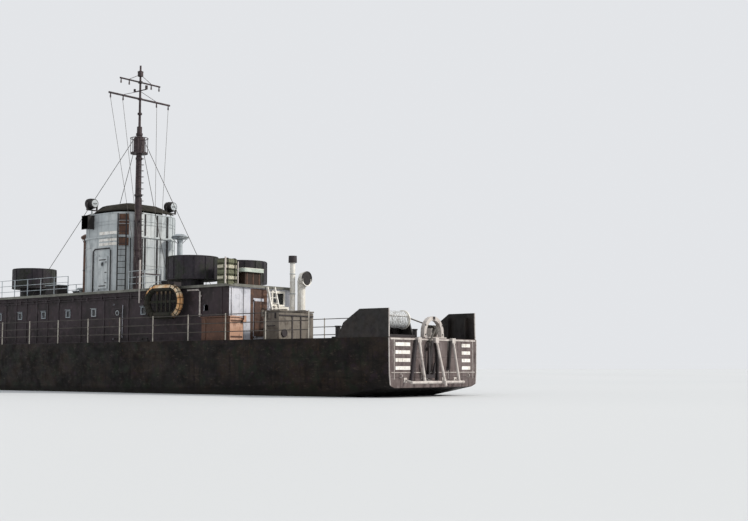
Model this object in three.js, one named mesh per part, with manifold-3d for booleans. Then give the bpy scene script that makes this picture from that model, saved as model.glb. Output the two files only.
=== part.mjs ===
// Large infantry landing craft, unarmed, as a half-size model. Lengths in this file are metres of the real
// craft, and the outer group turns them into millimetres of the model. +X is forward, +Y is port, +Z is up,
// and the origin is amidships, on the centre line, at the waterline.
import * as THREE from "three";
import { mergeVertices } from "three/addons/utils/BufferGeometryUtils.js";
import Module from "manifold-3d";

const wasm = await Module();
wasm.setup();

// Driving dimensions
const MODEL_SCALE = 1 / 2;
const MM_PER_METRE = 1000 * MODEL_SCALE;
const GAP = 0.0008; // between pieces that touch
const CLEAR = 0.014; // between pieces that move and their neighbours
const LENGTH = 48.3;
const STERN = -LENGTH / 2;
const BOW = LENGTH / 2;
const DECK = 2.5; // after and middle deck above the water
const SHEER = { start: 8, knuckle: 17, rise: 0.38, bow: 1.22 }; // the deck rises in two straight lengths
const PLATE = 0.06; // a plated wall with its stiffeners
const HOUSE = { back: STERN + 10.4, front: STERN + 30.6, half: 2.2, height: 2.6, roof: 0.08, brim: 0.12 };
const ROOF = DECK + HOUSE.height + HOUSE.roof;
const TOWER = {
  x: STERN + 20.4,
  halfLength: 2.05,
  halfWidth: 2.05,
  corner: 1.3,
  house: 2.9,
  floor: 0.08,
  wall: 1.2,
};
const BRIDGE = ROOF + TOWER.house + TOWER.floor;
const MAST = { x: TOWER.x - 2.24, y: 1.38, top: 17.2, radius: 0.18, topRadius: 0.07, step: 13.9 };
const LANE = { back: 9, front: 21, inner: 2.42, outer: 3.22, floor: 3.3 };
const RAMP = { length: 11, back: 9.3, depth: 0.16 };
const SHAFT = { y: 1.25, z: -0.95, radius: 0.07, propeller: -20.5, rudder: -21.95 };
const DOOR = { width: 0.76, height: 1.7, thick: 0.05, sill: 0.25 };

// Colours
const PAINT = {
  hull: { color: 0x24231f, roughness: 0.75, metalness: 0.25 },
  pale: { color: 0xb9c0c2, roughness: 0.65, metalness: 0.25 },
  dark: { color: 0x2f2c29, roughness: 0.7, metalness: 0.3 },
  steel: { color: 0x6e6a64, roughness: 0.5, metalness: 0.7 },
  bronze: { color: 0x8a6a3a, roughness: 0.4, metalness: 0.8 },
  wood: { color: 0x8c7f68, roughness: 0.85, metalness: 0 },
};

// Solids
function solid(geometry) {
  const flat = geometry.index ? geometry.toNonIndexed() : geometry.clone();
  const bare = new THREE.BufferGeometry().setAttribute("position", flat.getAttribute("position"));
  const merged = mergeVertices(bare, 1e-5);
  const body = new wasm.Manifold(
    new wasm.Mesh({
      numProp: 3,
      vertProperties: merged.attributes.position.array,
      triVerts: new Uint32Array(merged.index.array),
    }),
  );
  if (body.volume() < 0) throw new Error("a piece is inside out");
  return body;
}

function geometryOf(body) {
  const mesh = body.getMesh();
  const positions = new Float32Array(mesh.numVert * 3);
  for (let i = 0; i < mesh.numVert; i++) {
    positions.set(mesh.vertProperties.subarray(i * mesh.numProp, i * mesh.numProp + 3), i * 3);
  }
  return new THREE.BufferGeometry()
    .setAttribute("position", new THREE.BufferAttribute(positions, 3))
    .setIndex(new THREE.BufferAttribute(mesh.triVerts, 1));
}

const join = (...pieces) => geometryOf(pieces.map(solid).reduce((a, b) => a.add(b)));
const cut = (base, ...tools) => geometryOf(tools.map(solid).reduce((a, b) => a.subtract(b), solid(base)));
const shifted = (geometry, x, y, z) => geometry.clone().translate(x, y, z);

// A box between two corners
function block(x0, x1, y0, y1, z0, z1) {
  const size = [x1 - x0, y1 - y0, z1 - z0];
  return new THREE.BoxGeometry(...size).translate((x0 + x1) / 2, (y0 + y1) / 2, (z0 + z1) / 2);
}

// A round bar from one point to another
function bar(from, to, radius, sides = 8, endRadius = radius) {
  const a = new THREE.Vector3(...from);
  const along = new THREE.Vector3(...to).sub(a);
  const turn = new THREE.Quaternion().setFromUnitVectors(
    new THREE.Vector3(0, 1, 0),
    along.clone().normalize(),
  );
  return new THREE.CylinderGeometry(endRadius, radius, along.length(), sides)
    .applyQuaternion(turn)
    .translate(...a.addScaledVector(along, 0.5).toArray());
}

// A flat outline in X and Y, raised from z0 to z1
function slab(outline, z0, z1, hole) {
  const shape = new THREE.Shape(outline);
  if (hole) shape.holes.push(new THREE.Path(hole));
  return new THREE.ExtrudeGeometry(shape, { depth: z1 - z0, bevelEnabled: false }).translate(0, 0, z0);
}

// A flat outline in X and Z, given thickness from y0 to y1
function profile(outline, y0, y1) {
  const shape = new THREE.Shape(outline.map(([x, z]) => new THREE.Vector2(x, z)));
  return new THREE.ExtrudeGeometry(shape, { depth: y1 - y0, bevelEnabled: false })
    .rotateX(Math.PI / 2)
    .translate(0, y1, 0);
}

// A rectangle with round corners, as points
function roundedOutline(x, y, halfX, halfY, radius, steps = 6) {
  const points = [];
  const corners = [
    [1, 1, 0],
    [-1, 1, 1],
    [-1, -1, 2],
    [1, -1, 3],
  ];
  for (const [sideX, sideY, quarter] of corners) {
    for (let i = 0; i <= steps; i++) {
      const angle = (Math.PI / 2) * (quarter + i / steps);
      points.push(
        new THREE.Vector2(
          x + sideX * (halfX - radius) + radius * Math.cos(angle),
          y + sideY * (halfY - radius) + radius * Math.sin(angle),
        ),
      );
    }
  }
  return points;
}

// Rings with the same number of points, joined in order and closed at both ends
function loft(rings) {
  const count = rings[0].length;
  const positions = rings.flat(2);
  const index = [];
  for (let r = 0; r + 1 < rings.length; r++) {
    for (let i = 0; i < count; i++) {
      const a = r * count + i;
      const b = r * count + ((i + 1) % count);
      index.push(a, b, b + count, a, b + count, a + count);
    }
  }
  const last = (rings.length - 1) * count;
  for (let i = 1; i + 1 < count; i++) {
    index.push(0, i + 1, i);
    index.push(last, last + i, last + i + 1);
  }
  return new THREE.BufferGeometry()
    .setAttribute("position", new THREE.BufferAttribute(new Float32Array(positions), 3))
    .setIndex(index);
}

// A turned solid about the vertical axis, from [radius, height] pairs that start and end on the axis
function turned(pairs, sides = 16) {
  const points = pairs.map(([radius, height]) => new THREE.Vector2(radius, height));
  return new THREE.LatheGeometry(points, sides).rotateX(Math.PI / 2);
}

const mirrored = (geometry) => {
  const twin = geometry.index ? geometry.toNonIndexed() : geometry.clone();
  const bare = new THREE.BufferGeometry().setAttribute("position", twin.getAttribute("position").clone());
  bare.scale(1, -1, 1);
  const p = bare.attributes.position.array;
  for (let i = 0; i < p.length; i += 9) {
    for (let k = 0; k < 3; k++) {
      [p[i + 3 + k], p[i + 6 + k]] = [p[i + 6 + k], p[i + 3 + k]];
    }
  }
  return bare;
};

// Hull lines. Each row is one station: its place, then half breadth and height of the side above the water,
// of the turn of the bilge, and of the flat of the bottom. The deck edge has a half breadth only.
const STATIONS = [
  { x: STERN, deck: 3.2, side: [3.17, 1.0], bilge: [3.11, 0.5], flat: [2.8, 0.4] },
  { x: -22.4, deck: 3.3, side: [3.26, 0.9], bilge: [3.15, 0.2], flat: [2.7, 0.05] },
  { x: -20, deck: 3.42, side: [3.37, 0.65], bilge: [3.2, -0.15], flat: [2.6, -0.35] },
  { x: -16, deck: 3.53, side: [3.5, 0.4], bilge: [3.25, -0.6], flat: [2.55, -0.85] },
  { x: -10, deck: 3.545, side: [3.54, 0.3], bilge: [3.35, -0.8], flat: [2.7, -1.15] },
  { x: 0, deck: 3.545, side: [3.54, 0.3], bilge: [3.36, -0.85], flat: [2.75, -1.2] },
  { x: 8, deck: 3.545, side: [3.5, 0.3], bilge: [3.25, -0.8], flat: [2.55, -1.15] },
  { x: 13, deck: 3.42, side: [3.2, 0.3], bilge: [2.75, -0.7], flat: [1.95, -1.08] },
  { x: 17, deck: 3.05, side: [2.55, 0.35], bilge: [2.0, -0.6], flat: [1.2, -1.0] },
  { x: 20, deck: 2.45, side: [1.75, 0.45], bilge: [1.2, -0.45], flat: [0.6, -0.92] },
  { x: 22.2, deck: 1.6, side: [0.95, 0.7], bilge: [0.55, -0.15], flat: [0.22, -0.7] },
  { x: 23.5, deck: 0.8, side: [0.42, 1.2], bilge: [0.22, 0.3], flat: [0.12, -0.15] },
  { x: BOW, deck: 0.22, side: [0.14, 1.9], bilge: [0.1, 1.1], flat: [0.08, 0.75] },
];
const HULL_STEPS = 36;

function deckHeight(x) {
  const { start, knuckle, rise, bow } = SHEER;
  if (x <= start) return DECK;
  if (x <= knuckle) return DECK + (rise * (x - start)) / (knuckle - start);
  return DECK + rise + ((bow - rise) * (x - knuckle)) / (BOW - knuckle);
}

// One line along the hull, through the stations
function hullLine(pointOf) {
  return new THREE.CatmullRomCurve3(STATIONS.map((s) => new THREE.Vector3(s.x, ...pointOf(s))));
}

const DECK_EDGE = hullLine((s) => [s.deck, 0]).getPoints(HULL_STEPS);

function hullBody() {
  const lines = [(s) => s.flat, (s) => s.bilge, (s) => s.side].map((f) => hullLine(f).getPoints(HULL_STEPS));
  const rings = DECK_EDGE.map((edge, i) => {
    const port = lines.map((line) => line[i].toArray());
    port.push([edge.x, edge.y, deckHeight(edge.x)]);
    const starboard = port.map(([x, y, z]) => [x, -y, z]).reverse();
    return [...port, ...starboard];
  });
  return loft(rings);
}

// Half breadth of the deck at a place along the hull
function deckHalf(x) {
  const after = DECK_EDGE.findIndex((p) => p.x >= x);
  const [a, b] = [DECK_EDGE[Math.max(0, after - 1)], DECK_EDGE[Math.max(0, after)]];
  return a === b ? a.y : a.y + ((b.y - a.y) * (x - a.x)) / (b.x - a.x);
}

const SKEG = [
  [-19.2, -0.1],
  [-18.9, -1.5],
  [-11, -1.5],
  [-7, -1.05],
];

function hull() {
  const bare = hullBody();
  const pieces = [bare, profile(SKEG, -0.12, 0.12)];
  for (const side of [1, -1]) {
    pieces.push(bar([-19, side * SHAFT.y, SHAFT.z], [-10, side * SHAFT.y, SHAFT.z], 0.14, 10));
  }
  return join(...pieces);
}

const HULL = hull();

// The hull comes in three lengths, parted where the line of the deck changes
const HULL_LENGTHS = [
  { name: "hull", from: STERN - 1, to: SHEER.start },
  { name: "hull_shoulder", from: SHEER.start, to: SHEER.knuckle },
  { name: "hull_bow", from: SHEER.knuckle, to: BOW + 1 },
];

function hullLength({ from, to }) {
  const tools = [];
  if (from > STERN) tools.push(block(STERN - 2, from + GAP / 2, -5, 5, -5, 6));
  if (to < BOW) tools.push(block(to - GAP / 2, BOW + 2, -5, 5, -5, 6));
  return cut(HULL, ...tools);
}

const hullBelow = shifted(HULL, 0, 0, -GAP);
const hullAbove = shifted(HULL, 0, 0, GAP);

// Bow bulwark: inboard of the ramp lanes, then along the deck edge round the stem
const BULWARK = { back: 15, half: 2.25, rise: 0.95, bowRise: 1.15 };

function bowBulwark() {
  const path = [];
  const steps = 22;
  for (let i = 0; i <= steps; i++) {
    const x = BULWARK.back + ((BOW - BULWARK.back - 0.02) * i) / steps;
    path.push([x, Math.min(BULWARK.half, deckHalf(x) - 0.03)]);
  }
  const around = [...path, ...path.map(([x, y]) => [x, -y]).reverse()];
  const rings = around.map(([x, y], i) => {
    const [px, py] = around[Math.max(0, i - 1)];
    const [nx, ny] = around[Math.min(around.length - 1, i + 1)];
    const run = Math.hypot(nx - px, ny - py);
    const inward = [(ny - py) / run, -(nx - px) / run];
    const inner = [x + inward[0] * PLATE, y + inward[1] * PLATE];
    const share = (x - BULWARK.back) / (BOW - BULWARK.back);
    const low = deckHeight(x) - 0.1;
    const high = deckHeight(x) + BULWARK.rise + (BULWARK.bowRise - BULWARK.rise) * share;
    return [
      [x, y, low],
      [x, y, high],
      [...inner, high],
      [...inner, low],
    ];
  });
  return cut(loft(rings), hullAbove);
}

// Stern bulwark: one raised panel on each quarter
const QUARTER = [
  [STERN + 0.02, DECK + GAP],
  [STERN + 2.7, DECK + GAP],
  [STERN + 2.35, DECK + 0.65],
  [STERN + 1.5, DECK + 1.2],
  [STERN + 0.05, DECK + 1.2],
];

const QUARTER_PLACE = { y: 3.12, turn: 0.055, brace: 0.18 };

function quarterBulwark() {
  const { y, turn, brace } = QUARTER_PLACE;
  const panel = profile(QUARTER, 0, PLATE);
  const braces = [0.4, 1.4].map((along) =>
    profile(
      [
        [STERN + along, DECK + GAP],
        [STERN + along + 0.06, DECK + GAP],
        [STERN + along + 0.06, DECK + 1.0],
        [STERN + along, DECK + 1.0],
      ],
      -brace,
      PLATE / 2,
    ),
  );
  return join(panel, ...braces).translate(-STERN, 0, 0).rotateZ(turn).translate(STERN + 0.01, y, 0);
}

// Anchor guard on the transom: three bars down from the deck edge and one across their feet
const GUARD = { top: 2.42, foot: 0.62, reach: 0.42, middle: 0.6, radius: 0.06 };
const GUARD_BARS = [
  { y: 1.25, reach: GUARD.reach, foot: GUARD.foot },
  { y: 0, reach: GUARD.middle, foot: GUARD.foot - 0.16 },
  { y: -1.25, reach: GUARD.reach, foot: GUARD.foot },
];

function anchorGuard() {
  const face = STERN - GAP;
  const pieces = [];
  for (const { y, reach, foot } of GUARD_BARS) {
    pieces.push(bar([face - 0.1, y, GUARD.top], [face - reach, y, foot], GUARD.radius));
    pieces.push(block(face - 0.16, face, y - 0.12, y + 0.12, GUARD.top - 0.12, GUARD.top + 0.1));
  }
  const outer = face - GUARD.reach;
  pieces.push(bar([outer, 2.2, GUARD.foot], [outer, -1.6, GUARD.foot], GUARD.radius));
  pieces.push(block(face - 0.62, face - GUARD.reach, -0.05, 0.05, GUARD.foot - 0.05, GUARD.foot + 0.05));
  for (const y of [2.1, 0.62, -0.62, -1.5]) {
    pieces.push(bar([face - GUARD.reach, y, GUARD.foot], [face - 0.02, y, GUARD.foot + 0.1], 0.045));
    pieces.push(block(face - 0.03, face, y - 0.1, y + 0.1, GUARD.foot, GUARD.foot + 0.2));
  }
  return join(...pieces);
}

// Stern anchor, hung flat against the transom behind the guard
function sternAnchor() {
  const x = STERN - 0.14;
  const shank = block(x - 0.04, x + 0.04, 0.55, 0.65, 0.85, 2.15);
  const crown = block(x - 0.06, x + 0.06, 0.25, 0.95, 0.8, 0.95);
  const flukes = [0.3, 0.9].map((y) => {
    const tip = y < 0.6 ? y - 0.12 : y + 0.12;
    const square = (at, half, depth, z) => [
      [x - depth, at - half, z],
      [x + depth, at - half, z],
      [x + depth, at + half, z],
      [x - depth, at + half, z],
    ];
    return loft([square(y, 0.06, 0.05, 0.86), square(tip, 0.02, 0.03, 1.45)]);
  });
  const ring = bar([x, 0.6, 2.1], [x, 0.6, 2.28], 0.07, 8);
  const lug = block(x - 0.03, STERN - GAP, 0.56, 0.64, 1.95, 2.1);
  return join(shank, crown, ring, lug, ...flukes);
}

// Roller frame: an arch at the stern, just to starboard of the centre line, with a sheave between its cheeks
const ARCH = {
  x: STERN + 0.3,
  y: -0.25,
  radius: 0.72,
  plate: 0.17,
  width: 0.2,
  foot: 0.24,
  pin: 0.34,
  cheek: 0.19,
};

function archPlate(x0, x1) {
  const steps = 12;
  const outline = [[-ARCH.radius, 0]];
  for (let i = 0; i <= steps; i++) {
    const angle = Math.PI * (1 - i / steps);
    outline.push([ARCH.radius * Math.cos(angle), ARCH.foot + ARCH.radius * Math.sin(angle)]);
  }
  outline.push([ARCH.radius, 0], [ARCH.radius - ARCH.plate, 0]);
  for (let i = 0; i <= steps; i++) {
    const angle = (Math.PI * i) / steps;
    const inner = ARCH.radius - ARCH.plate;
    outline.push([inner * Math.cos(angle), ARCH.foot + inner * Math.sin(angle)]);
  }
  outline.push([-ARCH.radius + ARCH.plate, 0]);
  const shape = new THREE.Shape(outline.map(([y, z]) => new THREE.Vector2(y, z)));
  return new THREE.ExtrudeGeometry(shape, { depth: x1 - x0, bevelEnabled: false })
    .applyMatrix4(new THREE.Matrix4().set(0, 0, 1, x0, 1, 0, 0, 0, 0, 1, 0, DECK + GAP, 0, 0, 0, 1));
}

function rollerFrame() {
  const arch = archPlate(ARCH.x - ARCH.width / 2, ARCH.x + ARCH.width / 2);
  const sill = block(ARCH.x - 0.2, ARCH.x + 0.2, -0.78, 0.78, DECK + GAP, DECK + 0.06);
  const pinZ = DECK + ARCH.pin;
  const pin = bar([ARCH.x, -ARCH.cheek, pinZ], [ARCH.x, ARCH.cheek, pinZ], 0.045, 10);
  const cheeks = [-1, 1].map((side) => {
    const y = side * ARCH.cheek;
    return block(ARCH.x - 0.13, ARCH.x + 0.13, y - 0.025, y + 0.025, DECK + GAP, pinZ + 0.1);
  });
  return join(arch, sill, pin, ...cheeks).translate(0, ARCH.y, 0);
}

function sternSheave() {
  const wheel = new THREE.LatheGeometry(
    [
      [0.06, -0.13],
      [0.24, -0.13],
      [0.24, -0.09],
      [0.17, 0],
      [0.24, 0.09],
      [0.24, 0.13],
      [0.06, 0.13],
      [0.06, -0.13],
    ].map(([r, h]) => new THREE.Vector2(r, h)),
    20,
  );
  return wheel.translate(ARCH.x, ARCH.y, DECK + ARCH.pin);
}

// Stern winch: a drum lying athwartships between two side frames on a bed
const WINCH = { x: STERN + 1.1, y: 1.6, half: 0.8, z: DECK + 0.8, drum: 0.29, flange: 0.42 };

function winchBase() {
  const { x, y, half, z } = WINCH;
  const pieces = [block(x - 0.55, x + 0.65, y - half - 0.2, y + half + 0.2, DECK + GAP, DECK + 0.14)];
  for (const side of [-1, 1]) {
    const plate = y + side * (half + 0.14);
    pieces.push(
      profile(
        [
          [x - 0.45, DECK + 0.1],
          [x + 0.45, DECK + 0.1],
          [x + 0.16, z + 0.16],
          [x - 0.16, z + 0.16],
        ],
        plate - 0.04,
        plate + 0.04,
      ),
    );
  }
  pieces.push(bar([x, y - half - 0.14, z], [x, y + half + 0.14, z], 0.05, 10));
  pieces.push(block(x + 0.52, x + 0.64, y - half - 0.18, y + half + 0.18, DECK + 0.1, DECK + 0.62));
  return join(...pieces);
}

function winchDrum() {
  const { half, drum, flange } = WINCH;
  const hole = 0.065;
  const rim = 0.05;
  const points = [
    [hole, -half],
    [flange, -half],
    [flange, -half + rim],
    [drum, -half + rim],
    [drum, half - rim],
    [flange, half - rim],
    [flange, half],
    [hole, half],
    [hole, -half],
  ].map(([r, h]) => new THREE.Vector2(r, h));
  return new THREE.LatheGeometry(points, 24).translate(WINCH.x, WINCH.y, WINCH.z);
}

// Hatch trunks: an open box with a hinged lid. The hinge runs athwartships at the forward edge.
const HATCHES = [
  { name: "after_hatch", back: STERN + 8.1, front: STERN + 9.1, half: 1.2, height: 1.35 },
  { name: "forward_hatch", back: 9.2, front: 10.9, half: 1.1, height: 0.8 },
];
const LID = { thick: 0.06, lift: 0.02 };
const HINGE = { out: 0.02, side: 0.02, plate: 0.06 }; // a lug beside each end of a lid

function hatchTrunk({ back, front, half, height }) {
  const low = deckHeight(back) - 0.2;
  const top = deckHeight(back) + height;
  const ring = cut(
    block(back, front, -half, half, low, top),
    block(back + PLATE, front - PLATE, -half + PLATE, half - PLATE, low - 1, top + 1),
  );
  const pieces = [ring];
  const pivot = front + HINGE.out;
  for (const side of [-1, 1]) {
    const ends = [side * (half - 0.02), side * (half + HINGE.side + HINGE.plate)];
    const [near, far] = ends.sort((a, b) => a - b);
    const y = side * (half + HINGE.side + HINGE.plate / 2);
    pieces.push(block(front - 0.12, pivot + 0.05, near, far, top - 0.2, top - 0.1));
    pieces.push(
      block(front - 0.02, pivot + 0.05, y - HINGE.plate / 2, y + HINGE.plate / 2, top - 0.2, top + 0.11),
    );
  }
  return cut(join(...pieces), hullAbove);
}

function hatchLid({ back, front, half, height }) {
  const top = deckHeight(back) + height;
  const plate = block(back - 0.05, front + 0.05, -half, half, top + LID.lift, top + LID.lift + LID.thick);
  const ribs = [-0.55, 0.55].map((share) =>
    block(back, front, share * half - 0.05, share * half + 0.05, top + LID.lift, top + LID.lift + 0.12),
  );
  return join(plate, ...ribs);
}

// Deck lockers along the sides, each with a lid hinged on its inboard edge
const LOCKERS = [{ name: "port_locker", back: STERN + 9.2, front: STERN + 11.1, height: 1.05 }];
const LOCKER = { inner: 2.46, outer: 3.3 };

function lockerBox({ back, front, height }) {
  const top = DECK + height;
  const box = cut(
    block(back, front, LOCKER.inner, LOCKER.outer, DECK + GAP, DECK + height),
    block(back + PLATE, front - PLATE, LOCKER.inner + PLATE, LOCKER.outer - PLATE, DECK + 0.1, DECK + 3),
  );
  const { inner } = LOCKER;
  const lugs = [
    { foot: [back - 0.13, back + 0.02], plate: [back - 0.13, back - 0.08] },
    { foot: [front - 0.02, front + 0.13], plate: [front + 0.08, front + 0.13] },
  ].flatMap(({ foot, plate }) => [
    block(...foot, inner - 0.03, inner + 0.1, top - 0.2, top - 0.1),
    block(...plate, inner - 0.09, inner + 0.05, top - 0.2, top + 0.1),
  ]);
  return join(box, ...lugs);
}

function lockerLid({ back, front, height }) {
  const z = DECK + height + LID.lift;
  return join(
    block(back - 0.05, front + 0.05, LOCKER.inner - 0.03, LOCKER.outer + 0.05, z, z + 0.05),
    block(back + 0.2, front - 0.2, LOCKER.inner + 0.3, LOCKER.outer - 0.3, z, z + 0.08),
  );
}

// Deckhouse: walls with doors, windows and hinge lugs, then a roof
const HOUSE_DOOR = { back: STERN + 18.2, hinge: STERN + 18.2 + DOOR.width };
const WINDOW = { half: 0.16, low: 1.45, high: 1.77 };
const HOUSE_WINDOWS = [12.0, 16.6, 20.6, 22.8, 25.0, 27.2, 29.2].map((along) => STERN + along);
const AFT_WINDOW = { inner: -0.75, outer: -1.5, low: 1.85, high: 2.4 };
const AFT_DOOR = { hinge: 0.54, width: 0.62 };

// Lugs above and below a leaf that hangs outside a wall facing +Y
function doorLugs(hingeX, wallY, low) {
  const axisY = wallY + CLEAR + DOOR.thick / 2;
  return [low - CLEAR - 0.06, low + DOOR.height + CLEAR].map((z) =>
    block(hingeX - 0.05, hingeX + 0.05, wallY - 0.01, axisY + 0.04, z, z + 0.06),
  );
}

function deckhouseWalls() {
  const { back, front, half, height } = HOUSE;
  const low = DECK + GAP;
  const top = DECK + height;
  let walls = cut(
    block(back, front, -half, half, low, top),
    block(back + PLATE, front - PLATE, -half + PLATE, half - PLATE, low - 1, top + 1),
  );
  const holes = HOUSE_WINDOWS.map((x) =>
    block(x - WINDOW.half, x + WINDOW.half, -half - 1, half + 1, DECK + WINDOW.low, DECK + WINDOW.high),
  );
  const doorLow = DECK + DOOR.sill;
  const doorway = [doorLow + 0.05, doorLow + DOOR.height - 0.05];
  const pane = [DECK + AFT_WINDOW.low, DECK + AFT_WINDOW.high];
  holes.push(block(HOUSE_DOOR.back + 0.05, HOUSE_DOOR.hinge - 0.05, -half - 1, half + 1, ...doorway));
  holes.push(block(back - 1, back + 0.5, AFT_WINDOW.outer, AFT_WINDOW.inner, ...pane));
  const { hinge, width } = AFT_DOOR;
  holes.push(block(back - 1, back + 0.5, hinge - width + 0.05, hinge - 0.05, ...doorway));
  walls = cut(walls, ...holes);
  const lugs = doorLugs(HOUSE_DOOR.hinge, half, doorLow);
  const axisX = back - CLEAR - DOOR.thick / 2;
  const afterLugs = [doorLow - CLEAR - 0.06, doorLow + DOOR.height + CLEAR].map((z) =>
    block(axisX - 0.04, back + 0.01, hinge - 0.05, hinge + 0.05, z, z + 0.06),
  );
  return join(walls, ...lugs, ...lugs.map(mirrored), ...afterLugs);
}

function afterDoor() {
  const low = DECK + DOOR.sill;
  const x = HOUSE.back - CLEAR;
  const y = AFT_DOOR.hinge - AFT_DOOR.width;
  return join(
    block(x - DOOR.thick, x, y, AFT_DOOR.hinge, low, low + DOOR.height),
    block(x - DOOR.thick - 0.02, x, y + 0.08, AFT_DOOR.hinge - 0.08, low + 0.8, low + 0.88),
  );
}

function deckhouseRoof() {
  const { back, front, half, brim } = HOUSE;
  const outline = roundedOutline((back + front) / 2, 0, (front - back) / 2 + brim, half + brim, 0.2, 3);
  return slab(outline, ROOF - HOUSE.roof + GAP, ROOF);
}

function deckhouseDoor() {
  const low = DECK + DOOR.sill;
  const y = HOUSE.half + CLEAR;
  const leaf = block(HOUSE_DOOR.back, HOUSE_DOOR.hinge, y, y + DOOR.thick, low, low + DOOR.height);
  const across = [HOUSE_DOOR.back + 0.08, HOUSE_DOOR.hinge - 0.08];
  const ribs = [0.35, 1.25].map((rise) =>
    block(...across, y, y + DOOR.thick + 0.02, low + rise, low + rise + 0.08),
  );
  return join(leaf, ...ribs);
}

// Inclined ladder from the after deck to the deckhouse roof
const LADDER = { y: -0.42, half: 0.26, foot: STERN + 9.42, head: STERN + 10.2, rungs: 9 };

// An inclined ladder between two points in the X and Z plane
function ladder(y, half, footX, footZ, headX, headZ, rungs) {
  const pieces = [-1, 1].map((side) =>
    profile(
      [
        [footX - 0.06, footZ],
        [footX + 0.06, footZ],
        [headX + 0.06, headZ],
        [headX - 0.06, headZ],
      ],
      y + side * half - 0.025,
      y + side * half + 0.025,
    ),
  );
  for (let i = 1; i <= rungs; i++) {
    const share = i / (rungs + 1);
    const [x, z] = [footX + (headX - footX) * share, footZ + (headZ - footZ) * share];
    pieces.push(block(x - 0.05, x + 0.05, y - half, y + half, z - 0.015, z + 0.015));
  }
  return join(...pieces);
}

// Tower: pilot house drum, bridge floor, bridge wall and canopy
const towerOutline = (grow) =>
  roundedOutline(TOWER.x, 0, TOWER.halfLength + grow, TOWER.halfWidth + grow, TOWER.corner + grow);
const TOWER_DOOR = { back: TOWER.x - 0.7, hinge: TOWER.x - 0.7 + DOOR.width, low: ROOF + 0.2 };
const TOWER_PORTS = [
  { x: 2.05, y: 0 },
  { x: 1.67, y: 1.67 },
  { x: 1.67, y: -1.67 },
  { x: 0, y: -2.05 },
];

function pilothouseWalls() {
  const low = ROOF + GAP;
  const top = ROOF + TOWER.house;
  const holes = TOWER_PORTS.map(({ x, y }) =>
    block(TOWER.x + x - 0.3, TOWER.x + x + 0.3, y - 0.3, y + 0.3, ROOF + 1.6, ROOF + 2.0),
  );
  const doorway = [TOWER_DOOR.low + 0.05, TOWER_DOOR.low + DOOR.height - 0.05];
  const wall = TOWER.halfWidth;
  holes.push(block(TOWER_DOOR.back + 0.05, TOWER_DOOR.hinge - 0.05, wall - 0.5, wall + 0.5, ...doorway));
  const ring = cut(slab(towerOutline(0), low, top, towerOutline(-PLATE)), ...holes);
  return join(ring, ...doorLugs(TOWER_DOOR.hinge, wall, TOWER_DOOR.low));
}

function pilothouseDoor() {
  const y = TOWER.halfWidth + CLEAR;
  const { back, hinge, low } = TOWER_DOOR;
  return join(
    block(back, hinge, y, y + DOOR.thick, low, low + DOOR.height),
    block(back + 0.08, hinge - 0.08, y, y + DOOR.thick + 0.02, low + 0.5, low + 0.58),
  );
}

const bridgeFloor = () => slab(towerOutline(0.07), ROOF + TOWER.house + GAP, BRIDGE);

const LAMPS = [
  { name: "searchlight_port", x: TOWER.x + 1.1, y: 1.78 },
  { name: "searchlight_starboard", x: TOWER.x - 1.2, y: -1.78 },
];
const LAMP = { post: 0.3, radius: 0.3, half: 0.24, lift: 0.38 };
const BRIDGE_TOP = BRIDGE + TOWER.wall;
const SIDE_LIGHT = {
  x: TOWER.x + 0.55,
  length: 0.5,
  low: BRIDGE + 0.46,
  high: BRIDGE_TOP - 0.06,
  reach: 0.42,
};

// Half breadth of the middle of the tower's plating at a distance from its centre
function towerHalf(along) {
  const past = Math.max(0, Math.abs(along) - (TOWER.halfLength - TOWER.corner));
  return TOWER.halfWidth - TOWER.corner + Math.sqrt((TOWER.corner - PLATE / 2) ** 2 - past ** 2);
}

function bridgeWall() {
  const ring = slab(towerOutline(0), BRIDGE + GAP, BRIDGE_TOP, towerOutline(-PLATE));
  const pieces = [ring];
  for (const { x, y } of LAMPS) {
    pieces.push(bar([x, y, BRIDGE_TOP - 0.6], [x, y, BRIDGE_TOP + LAMP.post], 0.05, 8));
    const wall = Math.sign(y) * towerHalf(x - TOWER.x);
    const low = BRIDGE_TOP - 0.55;
    pieces.push(block(x - 0.05, x + 0.05, Math.min(y, wall), Math.max(y, wall), low, low + 0.1));
  }
  const { x, length, low, high, reach } = SIDE_LIGHT;
  const box = block(x, x + length, TOWER.halfWidth - 0.04, TOWER.halfWidth + reach, low, high);
  pieces.push(box, mirrored(box));
  return join(...pieces);
}

function searchlight({ x, y }) {
  const z = BRIDGE_TOP + LAMP.post + CLEAR;
  const centre = z + LAMP.lift;
  const drum = new THREE.CylinderGeometry(LAMP.radius, LAMP.radius * 0.8, LAMP.half * 2, 14)
    .rotateZ(-Math.PI / 2)
    .translate(x, y, centre);
  const reach = LAMP.radius + 0.02;
  const yoke = block(x - 0.04, x + 0.04, y - reach - 0.03, y + reach + 0.03, z, z + 0.06);
  const arms = [-1, 1].map((side) => {
    const at = y + side * reach;
    return block(x - 0.04, x + 0.04, at - 0.035, at + 0.035, z, centre + 0.05);
  });
  const trunnion = bar([x, y - reach, centre], [x, y + reach, centre], 0.035, 8);
  return join(drum, yoke, trunnion, ...arms);
}

// Canopy: a stiff hipped cover on four posts inside the bridge wall
const CANOPY = { low: BRIDGE_TOP + 0.12, rise: 0.5, brim: 0.02, shell: 0.05, inset: 0.45 };

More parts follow.
